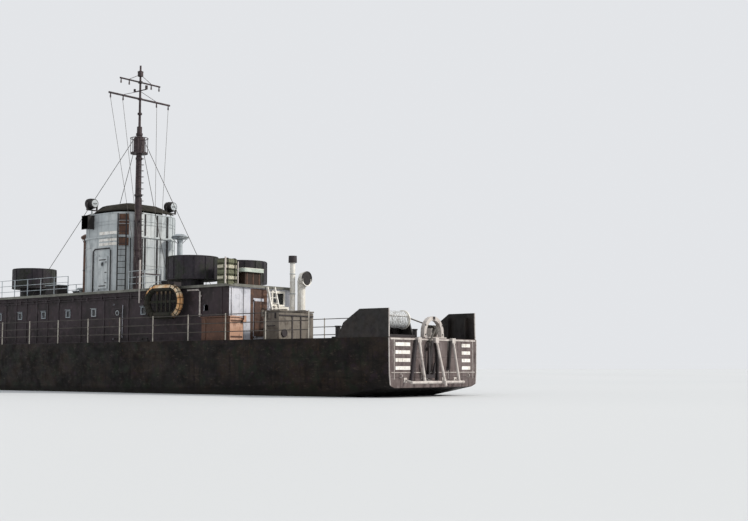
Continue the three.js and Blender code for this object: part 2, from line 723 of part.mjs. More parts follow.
function canopy() {
  const ringAt = (grow, z) => towerOutline(grow).map((p) => [p.x, p.y, z]);
  const outer = loft([ringAt(CANOPY.brim, CANOPY.low), ringAt(-1.0, CANOPY.low + CANOPY.rise)]);
  const inner = loft([
    ringAt(CANOPY.brim - CANOPY.shell, CANOPY.low - 0.01),
    ringAt(-1.0 - CANOPY.shell, CANOPY.low + CANOPY.rise - CANOPY.shell),
  ]);
  const cover = cut(outer, inner);
  const openings = LAMPS.map(({ x, y }) => {
    const across = y > 0 ? [y - 0.62, y + 2] : [y - 2, y + 0.62];
    return block(x - 0.62, x + 0.62, ...across, CANOPY.low - 1, CANOPY.low + 2);
  });
  const posts = [];
  for (const sx of [-1, 1]) {
    for (const sy of [-1, 1]) {
      const x = TOWER.x + sx * (TOWER.halfLength - CANOPY.inset);
      const y = sy * 1.1;
      posts.push(bar([x, y, BRIDGE + GAP], [x, y, CANOPY.low + 0.18], 0.035, 6));
    }
  }
  return join(cut(cover, ...openings), ...posts);
}

// Upright ladder on the tower's port after corner, from the roof to the bridge rim
const TOWER_LADDER = { turn: 2.214, out: 0.14, half: 0.22, rungs: 12 };

function towerLadder() {
  const { turn, out, half, rungs } = TOWER_LADDER;
  const low = ROOF + GAP;
  const high = BRIDGE_TOP - 0.05;
  const pieces = [-half, half].map((at) => block(-0.03, 0.03, at - 0.03, at + 0.03, low, high));
  for (let i = 1; i <= rungs; i++) {
    const z = low + ((high - low) * i) / (rungs + 1);
    pieces.push(block(-0.015, 0.015, -half, half, z - 0.015, z + 0.015));
  }
  const reach = TOWER.corner + out;
  return join(...pieces)
    .rotateZ(turn)
    .translate(
      TOWER.x - (TOWER.halfLength - TOWER.corner) + reach * Math.cos(turn),
      TOWER.halfWidth - TOWER.corner + reach * Math.sin(turn),
      0,
    );
}

// Mast: pole, lookout, two yards
const YARDS = [
  { z: 15.4, half: 2.05, radius: 0.055 },
  { z: 16.3, half: 1.35, radius: 0.045 },
];
const LOOKOUT = { z: 12.45, radius: 0.46, thick: 0.07, drum: 0.28, height: 0.85 };

function mast() {
  const { x, y, top, radius, topRadius, step } = MAST;
  const pieces = [
    bar([x, y, ROOF + GAP], [x, y, step], radius, 12, radius * 0.75),
    bar([x, y, step - 0.4], [x, y, top], topRadius, 8, topRadius * 0.7),
    block(x - 0.22, x + 0.22, y - 0.22, y + 0.22, ROOF + GAP, ROOF + 0.08),
    bar([x, y, LOOKOUT.z], [x, y, LOOKOUT.z + LOOKOUT.thick], LOOKOUT.radius, 12),
    bar([x, y, LOOKOUT.z], [x, y, LOOKOUT.z + LOOKOUT.height], LOOKOUT.drum, 12),
  ];
  for (const yard of YARDS) {
    pieces.push(bar([x, y - yard.half, yard.z], [x, y + yard.half, yard.z], yard.radius, 8));
  }
  return join(...pieces);
}

// Gun tubs, empty: round splinter shields with a floor. Each stands on a drum or hangs over the roof edge.
const BOW_DECK = deckHeight(18.6);
const ROOF_TOP = ROOF + GAP;
const TUBS = [
  { name: "bow_tub", x: 18.6, y: 0, base: BOW_DECK - 0.15, lift: 1.15, radius: 1.2, foot: 0.8 },
  { name: "middle_tub", x: HOUSE.front - 1.5, y: 0, base: ROOF_TOP, lift: 0.7, radius: 1.25, foot: 0.8 },
  { name: "port_tub", x: STERN + 13.5, y: 1.72, base: ROOF_TOP, lift: 0.4, radius: 1.25, foot: 0.56 },
  { name: "starboard_tub", x: STERN + 13.5, y: -1.72, base: ROOF_TOP, lift: 0.4, radius: 1.25, foot: 0.56 },
];
const TUB = { height: 1.08, wall: 0.05, floor: 0.06, sides: 28 };

function gunTub({ x, y, base, lift, radius, foot }) {
  const floor = base + lift;
  const shell = turned(
    [
      [0, floor - TUB.floor],
      [radius, floor - TUB.floor],
      [radius, floor + TUB.height],
      [radius - TUB.wall, floor + TUB.height],
      [radius - TUB.wall, floor],
      [0, floor],
    ],
    TUB.sides,
  );
  const drum = turned(
    [
      [0, base],
      [foot, base],
      [foot, floor - TUB.floor / 2],
      [0, floor - TUB.floor / 2],
    ],
    20,
  );
  const body = join(shell, drum).translate(x, y, 0);
  return base > DECK + 1.5 ? body : cut(body, hullAbove);
}

// On the roof's after end: a stack of flat life floats to port and a locker with an overhanging top
const FLOATS = {
  x: STERN + 11.35,
  y: 1.45,
  halfLength: 0.27,
  halfWidth: 0.43,
  layer: 0.24,
  count: 5,
  step: 0.27,
  post: 0.13,
};

function floatStack() {
  const { x, y, halfLength, halfWidth, layer, count, step, post } = FLOATS;
  const pieces = [];
  for (let i = 0; i < count; i++) {
    const z = ROOF + GAP + i * step;
    const outline = roundedOutline(x, y, halfLength, halfWidth, 0.06, 2);
    pieces.push(slab(outline, z, z + layer));
  }
  const corners = [-1, 1].flatMap((sx) =>
    [-1, 1].map((sy) => [x + sx * (halfLength - post), y + sy * (halfWidth - post)]),
  );
  for (const [cx, cy] of corners) {
    pieces.push(block(cx - 0.04, cx + 0.04, cy - 0.04, cy + 0.04, ROOF + GAP, ROOF + count * step - 0.05));
  }
  return join(...pieces);
}

const ROOF_LOCKER = { x: STERN + 11.3, y: 0.1, halfLength: 0.38, halfWidth: 0.55, height: 0.9, top: 0.18 };

function roofLocker() {
  const { x, y, halfLength, halfWidth, height, top } = ROOF_LOCKER;
  const joint = ROOF + height - top;
  return join(
    block(x - halfLength, x + halfLength, y - halfWidth, y + halfWidth, ROOF + GAP, joint + 0.02),
    slab(roundedOutline(x, y, halfLength + 0.12, halfWidth + 0.15, 0.12, 2), joint, ROOF + height),
  );
}

// Oval life floats hung outside the deckhouse walls, each a ring on two arms
const SIDE_FLOAT = { x: STERN + 14.6, y: 2.62, z: 4.48, halfLength: 1.2, halfHeight: 0.68, tube: 0.17 };

function sideFloat() {
  const { x, y, z, halfLength, halfHeight, tube } = SIDE_FLOAT;
  const count = 32;
  const sides = 8;
  const ring = [];
  for (let i = 0; i < count; i++) {
    const turn = (2 * Math.PI * i) / count;
    const flat = Math.cos(turn) * halfHeight;
    const along = Math.sign(Math.cos(turn)) * (halfLength - halfHeight);
    const centre = [x + along + flat, y, z + Math.sin(turn) * halfHeight];
    const outward = [Math.cos(turn), 0, Math.sin(turn)];
    for (let k = 0; k < sides; k++) {
      const angle = (2 * Math.PI * k) / sides;
      const [a, b] = [tube * Math.cos(angle), tube * Math.sin(angle)];
      ring.push([centre[0] + a * outward[0], centre[1] + b, centre[2] + a * outward[2]]);
    }
  }
  const index = [];
  for (let i = 0; i < count; i++) {
    for (let k = 0; k < sides; k++) {
      const a = i * sides + k;
      const b = i * sides + ((k + 1) % sides);
      const c = ((i + 1) % count) * sides + k;
      const d = ((i + 1) % count) * sides + ((k + 1) % sides);
      index.push(a, b, c, b, d, c);
    }
  }
  const tubeRing = new THREE.BufferGeometry()
    .setAttribute("position", new THREE.BufferAttribute(new Float32Array(ring.flat()), 3))
    .setIndex(index);
  const wall = HOUSE.half + GAP;
  const arms = [-0.6, 0.6].map((dx) =>
    block(x + dx - 0.04, x + dx + 0.04, wall, y, z - halfHeight - 0.04, z - halfHeight + 0.04),
  );
  const lattice = [-0.48, -0.16, 0.16, 0.48].map((dx) =>
    block(x + dx - 0.05, x + dx + 0.05, y - 0.03, y + 0.01, z - halfHeight, z + halfHeight),
  );
  const plank = block(x - halfLength, x + halfLength, y - 0.05, y - 0.01, z - 0.06, z + 0.06);
  return join(tubeRing, ...arms, ...lattice, plank);
}

// Ventilators: tall ones with a wide cap beside the tower, and a cowl aft of the deckhouse
const VENTS = [
  { name: "ventilator_fore", x: TOWER.x + 2.7, y: 0.8, height: 3.4, pipe: 0.22, cap: 0.36 },
  { name: "ventilator_after", x: TOWER.x - 2.7, y: -1.15, height: 3.2, pipe: 0.15, cap: 0.45 },
];

function ventilator({ x, y, height, pipe, cap }) {
  const pairs = [
    [0, 0],
    [pipe + 0.11, 0],
    [pipe + 0.11, 0.05],
    [pipe, 0.09],
    [pipe, height - 0.3],
    [cap, height - 0.24],
    [cap, height - 0.12],
    [cap / 2, height],
    [0, height],
  ];
  return turned(pairs, 16).translate(x, y, ROOF + GAP);
}

const COWL = { x: STERN + 9.75, y: -2.15, top: DECK + 2.95, radius: 0.2, mouth: 0.38 };

function cowlVentilator() {
  const { x, y, top, radius, mouth } = COWL;
  const rings = [];
  const circle = (cx, cz, r, tilt) => {
    const points = [];
    for (let k = 0; k < 14; k++) {
      const angle = (2 * Math.PI * k) / 14;
      const [a, b] = [r * Math.cos(angle), r * Math.sin(angle)];
      points.push([cx + a * Math.cos(tilt), y + b, cz + a * Math.sin(tilt)]);
    }
    return points;
  };
  rings.push(circle(x, DECK + GAP, radius * 1.3, 0));
  rings.push(circle(x, DECK + 0.12, radius * 1.3, 0));
  rings.push(circle(x, DECK + 0.14, radius, 0));
  rings.push(circle(x, top - 0.25, radius, 0));
  rings.push(circle(x - 0.06, top, radius * 1.35, 0.45));
  rings.push(circle(x - 0.2, top + 0.17, mouth, 1.1));
  rings.push(circle(x - 0.36, top + 0.2, mouth, 1.5));
  const hollow = bar([x - 0.12, y, top + 0.14], [x - 0.6, y, top + 0.17], mouth * 0.66, 12, mouth * 0.9);
  return cut(loft(rings), hollow);
}

// Galley stack against the after wall, with a cap
function galleyStack() {
  const [x, y] = [HOUSE.back - 0.32, -1.85];
  return turned(
    [
      [0, 0],
      [0.16, 0],
      [0.13, 0.06],
      [0.13, 3.98],
      [0.2, 4.0],
      [0.2, 4.18],
      [0, 4.27],
    ],
    14,
  ).translate(x, y, DECK + GAP);
}

// Side rails: stanchions with three rods
const RAIL = { back: STERN + 4.3, front: 7.9, count: 11, height: 1.2, inset: 0.1 };

function sideRail() {
  const pieces = [];
  const at = (i) => {
    const x = RAIL.back + ((RAIL.front - RAIL.back) * i) / RAIL.count;
    return [x, deckHalf(x) - RAIL.inset];
  };
  for (let i = 0; i <= RAIL.count; i++) {
    const [x, y] = at(i);
    pieces.push(bar([x, y, deckHeight(x) + GAP], [x, y, deckHeight(x) + RAIL.height + 0.03], 0.035, 4));
    if (i === 0) continue;
    const [px, py] = at(i - 1);
    for (const share of [0.34, 0.67, 1]) {
      const rise = RAIL.height * share - 0.02;
      pieces.push(bar([px, py, deckHeight(px) + rise], [x, y, deckHeight(x) + rise], 0.02, 4));
    }
  }
  return join(...pieces);
}

// Ramp lanes: a track outboard of the bow bulwark, its trestles and its brackets
function rampTrack() {
  const { back, front, inner, outer, floor } = LANE;
  const pieces = [block(back, front, inner, outer, floor - 0.06, floor)];
  for (const y of [inner, outer - 0.04]) {
    pieces.push(block(back, front, y, y + 0.04, floor - 0.06, floor + 0.12));
  }
  for (const x of [back + 0.3, 12.2, 15.2]) {
    for (const y of [inner + 0.06, outer - 0.12]) {
      pieces.push(block(x - 0.05, x + 0.05, y - 0.05, y + 0.05, deckHeight(x) - 0.1, floor - 0.03));
    }
  }
  for (const x of [17.2, 18.8, 20.2]) {
    const foot = BULWARK.half + 0.05;
    pieces.push(
      loft(
        [x - 0.04, x + 0.04].map((at) => [
          [at, foot, floor - 0.75],
          [at, outer, floor - 0.14],
          [at, outer, floor - 0.03],
          [at, foot, floor - 0.03],
        ]),
      ),
    );
  }
  const tool = [hullAbove, shifted(HULL, 0, GAP, 0), shifted(HULL, 0, -GAP, 0)];
  return cut(join(...pieces), ...tool);
}

// Gangway ramp: a plank deck between two beams, with treads
function gangwayRamp() {
  const y0 = LANE.inner + 0.04 + CLEAR;
  const y1 = LANE.outer - 0.04 - CLEAR;
  const z = LANE.floor + CLEAR;
  const end = RAMP.back + RAMP.length;
  const pieces = [block(RAMP.back, end, y0, y1, z + 0.05, z + 0.09)];
  for (const y of [y0, y1 - 0.07]) {
    pieces.push(block(RAMP.back, end, y, y + 0.07, z, z + RAMP.depth + 0.06));
  }
  const treads = 20;
  for (let i = 0; i < treads; i++) {
    const x = RAMP.back + 0.3 + ((RAMP.length - 0.6) * i) / (treads - 1);
    pieces.push(block(x - 0.025, x + 0.025, y0, y1, z + 0.08, z + 0.12));
  }
  return join(...pieces);
}

// Bow windlass: bed and cheeks, then a drum across
const WINDLASS = { x: 21.1, z: deckHeight(21.1) + 0.48, half: 0.42 };

function windlassBed() {
  const { x, z, half } = WINDLASS;
  const low = deckHeight(x) - 0.1;
  const pieces = [block(x - 0.4, x + 0.4, -half - 0.2, half + 0.2, low, low + 0.22)];
  for (const side of [-1, 1]) {
    const at = side * (half + 0.1);
    pieces.push(block(x - 0.16, x + 0.16, at - 0.04, at + 0.04, low, z + 0.14));
  }
  pieces.push(bar([x, -half - 0.1, z], [x, half + 0.1, z], 0.04, 8));
  return cut(join(...pieces), hullAbove);
}

function windlassDrum() {
  const { x, z, half } = WINDLASS;
  const points = [
    [0.055, -half],
    [0.24, -half],
    [0.15, -half * 0.6],
    [0.15, half * 0.6],
    [0.24, half],
    [0.055, half],
    [0.055, -half],
  ].map(([r, h]) => new THREE.Vector2(r, h));
  return new THREE.LatheGeometry(points, 18).translate(x, 0, z);
}

// Below the water: shaft brackets, propellers and rudders
function shaftBracket() {
  const x = SHAFT.propeller + 0.5;
  const ring = new THREE.LatheGeometry(
    [
      [SHAFT.radius + CLEAR, -0.18],
      [0.15, -0.18],
      [0.15, 0.18],
      [SHAFT.radius + CLEAR, 0.18],
      [SHAFT.radius + CLEAR, -0.18],
    ].map(([r, h]) => new THREE.Vector2(r, h)),
    16,
  )
    .rotateZ(-Math.PI / 2)
    .translate(x, SHAFT.y, SHAFT.z);
  const arms = [-1, 1].map((side) =>
    loft(
      [
        [0.12, SHAFT.z],
        [0.12, 0.3],
      ].map(([half, z], i) => {
        const y = SHAFT.y + side * (i ? 0.42 : 0.1);
        return [
          [x - half, y - 0.03, z + (i ? 0 : 0.06)],
          [x + half, y - 0.03, z + (i ? 0 : 0.06)],
          [x + half, y + 0.03, z + (i ? 0 : 0.06)],
          [x - half, y + 0.03, z + (i ? 0 : 0.06)],
        ];
      }),
    ),
  );
  const bore = bar([x - 0.5, SHAFT.y, SHAFT.z], [x + 0.5, SHAFT.y, SHAFT.z], SHAFT.radius + CLEAR, 16);
  return cut(join(ring, ...arms), bore, hullBelow);
}

function propeller() {
  const hub = turned(
    [
      [0, -0.16],
      [0.13, -0.16],
      [0.12, 0.16],
      [SHAFT.radius, 0.2],
      [SHAFT.radius, 1.48],
      [0, 1.48],
    ],
    14,
  ).rotateY(Math.PI / 2);
  const blades = [0, 1, 2].map((i) => {
    const rings = [
      { r: 0.08, half: 0.09, pitch: 0.95 },
      { r: 0.22, half: 0.17, pitch: 0.75 },
      { r: 0.38, half: 0.2, pitch: 0.55 },
      { r: 0.52, half: 0.07, pitch: 0.42 },
    ].map(({ r, half, pitch }) => {
      const [dx, dy] = [half * Math.sin(pitch), half * Math.cos(pitch)];
      const t = 0.014;
      return [
        [-dx + t, -dy, r],
        [dx + t, dy, r],
        [dx - t, dy, r],
        [-dx - t, -dy, r],
      ];
    });
    return loft(rings).rotateX((i * 2 * Math.PI) / 3);
  });
  return join(hub, ...blades);
}

function rudder() {
  const { rudder: axis, y, z } = SHAFT;
  const section = [
    [axis + 0.32, 0],
    [axis + 0.2, 0.06],
    [axis - 0.1, 0.06],
    [axis - 0.62, 0.012],
    [axis - 0.62, -0.012],
    [axis - 0.1, -0.06],
    [axis + 0.2, -0.06],
  ].map(([px, py]) => new THREE.Vector2(px, y + py));
  const blade = slab(section.reverse(), z - 0.42, z + 0.62);
  const stock = bar([axis, y, z], [axis, y, -0.07], 0.05, 10);
  return join(blade, stock);
}

// The scene graph
const craft = new THREE.Group();
craft.scale.setScalar(MM_PER_METRE);

function add(name, geometry, paint) {
  const mesh = new THREE.Mesh(geometry, new THREE.MeshStandardMaterial(paint));
  mesh.name = name;
  craft.add(mesh);
  return mesh;
}

function addPair(base, geometry, paint) {
  add(base + "_port", geometry, paint);
  add(base + "_starboard", mirrored(geometry), paint);
}

for (const length of HULL_LENGTHS) add(length.name, hullLength(length), PAINT.hull);
add("bow_bulwark", bowBulwark(), PAINT.hull);
addPair("stern_bulwark", quarterBulwark(), PAINT.hull);
add("anchor_guard", anchorGuard(), PAINT.pale);
add("stern_anchor", sternAnchor(), PAINT.dark);
add("roller_frame", rollerFrame(), PAINT.pale);
add("stern_sheave", sternSheave(), PAINT.steel);
add("winch_base", winchBase(), PAINT.dark);
add("winch_drum", winchDrum(), PAINT.pale);
for (const hatch of HATCHES) {
  add(hatch.name, hatchTrunk(hatch), PAINT.pale);
  add(hatch.name + "_lid", hatchLid(hatch), PAINT.pale);
}
for (const locker of LOCKERS) {
  add(locker.name, lockerBox(locker), PAINT.wood);
  add(locker.name + "_lid", lockerLid(locker), PAINT.wood);
}
add("deckhouse_walls", deckhouseWalls(), PAINT.pale);
add("deckhouse_roof", deckhouseRoof(), PAINT.pale);
addPair("deckhouse_door", deckhouseDoor(), PAINT.pale);
add("deckhouse_door_after", afterDoor(), PAINT.wood);
add(
  "deckhouse_ladder",
  ladder(LADDER.y, LADDER.half, LADDER.foot, DECK + GAP, LADDER.head, ROOF, LADDER.rungs),
  PAINT.pale,
);
add("pilothouse_walls", pilothouseWalls(), PAINT.pale);
add("pilothouse_door", pilothouseDoor(), PAINT.pale);
add("bridge_floor", bridgeFloor(), PAINT.dark);
add("bridge_wall", bridgeWall(), PAINT.pale);
add("bridge_canopy", canopy(), PAINT.dark);
for (const lamp of LAMPS) add(lamp.name, searchlight(lamp), PAINT.dark);
add("mast", mast(), PAINT.dark);
for (const tub of TUBS) add(tub.name, gunTub(tub), PAINT.dark);
add("tower_ladder", towerLadder(), PAINT.dark);
add("float_stack", floatStack(), PAINT.wood);
add("roof_locker", roofLocker(), PAINT.pale);
addPair("life_float", sideFloat(), PAINT.wood);
for (const vent of VENTS) add(vent.name, ventilator(vent), PAINT.pale);
add("cowl_ventilator", cowlVentilator(), PAINT.pale);
add("galley_stack", galleyStack(), PAINT.pale);
addPair("side_rail", sideRail(), PAINT.steel);
addPair("ramp_track", rampTrack(), PAINT.dark);
addPair("gangway_ramp", gangwayRamp(), PAINT.wood);
add("windlass_bed", windlassBed(), PAINT.dark);
add("windlass_drum", windlassDrum(), PAINT.steel);
addPair("shaft_bracket", shaftBracket(), PAINT.steel);
addPair("propeller", propeller().translate(SHAFT.propeller, SHAFT.y, SHAFT.z), PAINT.bronze);
addPair("rudder", rudder(), PAINT.hull);

export default craft;
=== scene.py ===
"""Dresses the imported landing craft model: materials, fittings, camera, floor and light.

Lengths in this file are metres of the real craft, as in the CAD source. S turns them into model metres.
+X is forward, +Y is port, +Z is up, and the water lies at z = 0.
"""
import math

import bmesh
import bpy
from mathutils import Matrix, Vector


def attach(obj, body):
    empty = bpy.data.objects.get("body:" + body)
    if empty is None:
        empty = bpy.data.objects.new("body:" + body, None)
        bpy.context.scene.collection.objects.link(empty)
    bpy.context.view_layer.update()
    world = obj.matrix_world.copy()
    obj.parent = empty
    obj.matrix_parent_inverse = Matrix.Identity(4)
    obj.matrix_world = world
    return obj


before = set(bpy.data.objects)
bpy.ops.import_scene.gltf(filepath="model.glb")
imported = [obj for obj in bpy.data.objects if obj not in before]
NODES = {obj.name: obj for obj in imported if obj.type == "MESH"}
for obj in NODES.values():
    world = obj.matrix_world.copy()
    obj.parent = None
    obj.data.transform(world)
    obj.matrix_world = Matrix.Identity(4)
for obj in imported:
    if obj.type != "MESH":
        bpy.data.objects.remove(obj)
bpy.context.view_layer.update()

S = 0.5
AHEAD, OUT, UP = (1, 0, 0), (0, 1, 0), (0, 0, 1)
SIDES = (1, -1)
NAMED_SIDES = (("port", 1), ("starboard", -1))

# Flat fittings stand this far off the face behind them
GAP = 0.001

# Places on the craft, as in the CAD source
STERN, BOW = -24.15, 24.15
DECK, ROOF, BRIDGE, BRIDGE_TOP = 2.5, 5.18, 8.16, 9.36
SHEER_START, SHEER_BEND = 8.0, 17.0
SHEER_LOW, SHEER_HIGH = 0.38, 0.84
ARCH_Y = -0.25
WINCH_X, WINCH_Y, WINCH_Z = STERN + 1.1, 1.6, DECK + 0.8
HATCH_BACK, HATCH_FRONT, HATCH_HALF = STERN + 8.1, STERN + 9.1, 1.2
LOCKER_BACK, LOCKER_FRONT = STERN + 9.2, STERN + 11.1
HOUSE_BACK, HOUSE_FRONT, HOUSE_HALF = STERN + 10.4, STERN + 30.6, 2.2
WINDOWS = [STERN + ahead for ahead in (16.6, 20.6, 22.8, 25.0, 27.2, 29.2)]
WINDOW_Z, WINDOW_HALF = DECK + 1.61, 0.16
DOOR_X, DOOR_WIDE = STERN + 18.2, 0.76
FLOAT_X, FLOAT_Y, FLOAT_Z = STERN + 14.6, 2.62, 4.48
FLOAT_FLAT, FLOAT_BEND = 0.52, 0.68
STACK_X, STACK_Y = STERN + 11.35, 1.45
BOX_X, BOX_Y = STERN + 11.3, 0.1
GALLEY_X, GALLEY_Y = HOUSE_BACK - 0.32, -1.85
COWL_X, COWL_Y, COWL_Z = STERN + 9.4, -2.15, DECK + 3.15
TOWER_X, TOWER_HALF, TOWER_CORNER = STERN + 20.4, 2.05, 1.3
MAST_X, MAST_Y, MAST_HEAD = TOWER_X - 2.24, 1.38, 16.62
YARDS = ((15.4, 2.05), (16.3, 1.35))
LAMPS = (("port_lamp", TOWER_X + 1.1, 1.78), ("starboard_lamp", TOWER_X - 1.2, -1.78))


def aim(*direction):
    """The turn of a camera or lamp that looks along a direction."""
    return Vector(direction).to_track_quat("-Z", "Y").to_euler()


# Camera
camera = bpy.data.objects.new("camera", bpy.data.cameras.new("camera"))
camera.data.sensor_width = 36
camera.data.sensor_fit = "HORIZONTAL"
camera.data.lens = 56.3
camera.data.clip_end = 2000
camera.location = (-26.945, 20.505, 0.63)
camera.rotation_euler = aim(0.6254, -0.775, 0.0908)
scene = bpy.context.scene
scene.collection.objects.link(camera)
scene.camera = camera

# Light: a broad sun from the starboard quarter and a pale sky
sun = bpy.data.objects.new("key", bpy.data.lights.new("key", "SUN"))
sun.data.energy = 2.7
sun.data.angle = math.radians(9)
sun.data.color = (1.0, 0.95, 0.88)
sun.rotation_euler = aim(0.72, 0.42, -0.55)
scene.collection.objects.link(sun)
scene.world = bpy.data.worlds.new("sky")
scene.world.use_nodes = True
sky = scene.world.node_tree.nodes["Background"].inputs
sky["Color"].default_value = (0.77, 0.785, 0.81, 1)
sky["Strength"].default_value = 1.0
scene.view_settings.view_transform = "Standard"


# Shading
def linear(value):
    """A hex colour as linear RGBA."""
    parts = [((value >> shift) & 255) / 255 for shift in (16, 8, 0)]
    return tuple((c / 12.92 if c <= 0.04045 else ((c + 0.055) / 1.055) ** 2.4) for c in parts) + (1.0,)


class Shade:
    """One procedural material, built node by node on object coordinates."""

    def __init__(self, name, metallic=0.0, specular=0.4):
        self.material = bpy.data.materials.new(name)
        self.material.use_nodes = True
        self.tree = self.material.node_tree
        self.tree.nodes.clear()
        self.surface = self.new("ShaderNodeBsdfPrincipled")
        self.surface.inputs["Metallic"].default_value = metallic
        self.surface.inputs["Specular IOR Level"].default_value = specular
        output = self.new("ShaderNodeOutputMaterial")
        self.link(self.surface.outputs["BSDF"], output.inputs["Surface"])
        coordinates = self.new("ShaderNodeTexCoord")
        self.place = coordinates.outputs["Object"]
        self.normal = coordinates.outputs["Normal"]

    def new(self, kind):
        return self.tree.nodes.new(kind)

    def link(self, source, target):
        if hasattr(source, "node"):
            self.tree.links.new(source, target)
        else:
            target.default_value = source

    def axis(self, vector, name):
        split = self.new("ShaderNodeSeparateXYZ")
        self.link(vector, split.inputs[0])
        return split.outputs[name]

    def math(self, kind, a, b=0.0):
        node = self.new("ShaderNodeMath")
        node.operation = kind
        node.use_clamp = kind in ("MULTIPLY", "ADD")
        self.link(a, node.inputs[0])
        self.link(b, node.inputs[1])
        return node.outputs[0]

    def noise(self, scale, detail=4.0, rough=0.55, seed=0.0):
        """Noise from 0 to 1. The scale is one number or one for each axis, per model metre."""
        if isinstance(scale, (int, float)):
            scale = (scale, scale, scale)
        mapping = self.new("ShaderNodeMapping")
        self.link(self.place, mapping.inputs["Vector"])
        mapping.inputs["Scale"].default_value = scale
        mapping.inputs["Location"].default_value = (seed, seed * 1.7, seed * 0.6)
        texture = self.new("ShaderNodeTexNoise")
        texture.inputs["Scale"].default_value = 1.0
        texture.inputs["Detail"].default_value = detail
        texture.inputs["Roughness"].default_value = rough
        self.link(mapping.outputs[0], texture.inputs["Vector"])
        return texture.outputs[0]

    def ramp(self, value, low, high, start=0.0, end=1.0):
        """The value spread from low..high to start..end, held outside."""
        node = self.new("ShaderNodeMapRange")
        node.interpolation_type = "SMOOTHSTEP"
        self.link(value, node.inputs["Value"])
        for name, number in (("From Min", low), ("From Max", high), ("To Min", start), ("To Max", end)):
            node.inputs[name].default_value = number
        return node.outputs[0]

    def mix(self, share, a, b):
        node = self.new("ShaderNodeMix")
        node.data_type = "RGBA"
        self.link(share, node.inputs[0])
        self.link(a, node.inputs[6])
        self.link(b, node.inputs[7])
        return node.outputs[2]

    def finish(self, colour, rough, height, strength, distance=0.004):
        self.link(colour, self.surface.inputs["Base Color"])
        self.link(rough, self.surface.inputs["Roughness"])
        bump = self.new("ShaderNodeBump")
        bump.inputs["Strength"].default_value = strength
        bump.inputs["Distance"].default_value = distance
        self.link(height, bump.inputs["Height"])
        self.link(bump.outputs[0], self.surface.inputs["Normal"])
        return self.material

    def weathered(self, tones, scale=1.0, rust=0.3, rust_tone=0x5A3524, streak=0.5, streak_tone=0x2E2A28):
        """Three tones in patches, runs of dirt down the faces, and spots of rust. Returns a colour."""
        base, second, third = tones
        colour = self.stain(linear(base), second, 0.42, 0.62, 1.0, 0.9 * scale, 5, 0.6)
        colour = self.stain(colour, third, 0.5, 0.68, 0.8, 3.7 * scale, 6, 0.65, 3.1)
        if streak:
            runs = (7 * scale, 7 * scale, 0.7 * scale)
            colour = self.stain(colour, streak_tone, 0.5, 0.74, streak, runs, 5, 0.6, 7.7)
        if rust:
            spots = self.ramp(self.noise(11 * scale, 7, 0.7, 1.3), 0.56, 0.7)
            patch = self.ramp(self.noise(1.6 * scale, 3, 0.5, 5.9), 0.48, 0.66, 0, rust)
            colour = self.mix(self.math("MULTIPLY", spots, patch), colour, linear(rust_tone))
            run = self.ramp(self.noise((9 * scale, 9 * scale, 0.9 * scale), 4, 0.6, 2.2), 0.6, 0.78)
            colour = self.mix(self.math("MULTIPLY", run, patch), colour, linear(rust_tone))
        return colour

    def grain(self, fine=70.0, coarse=6.0):
        return self.mix(0.35, self.noise(fine, 3, 0.6), self.noise(coarse, 5, 0.6, 4.0))

    def where(self, source, axis, low, high):
        return self.ramp(self.axis(source, axis), low, high)

    def stain(self, colour, tone, low, high, share, *noise):
        """Another tone where a noise is high. The settings of the noise come last."""
        return self.mix(self.ramp(self.noise(*noise), low, high, 0, share), colour, linear(tone))


def paint(name, tones, rough=0.62, metallic=0.15, strength=0.25, scale=1.0, distance=0.004, **wear):
    shade = Shade(name, metallic)
    colour = shade.weathered(tones, scale, **wear)
    sheen = shade.ramp(shade.noise(5 * scale, 4, 0.6, 9.0), 0.35, 0.7, rough - 0.12, rough + 0.15)
    return shade.finish(colour, sheen, shade.grain(), strength, distance)


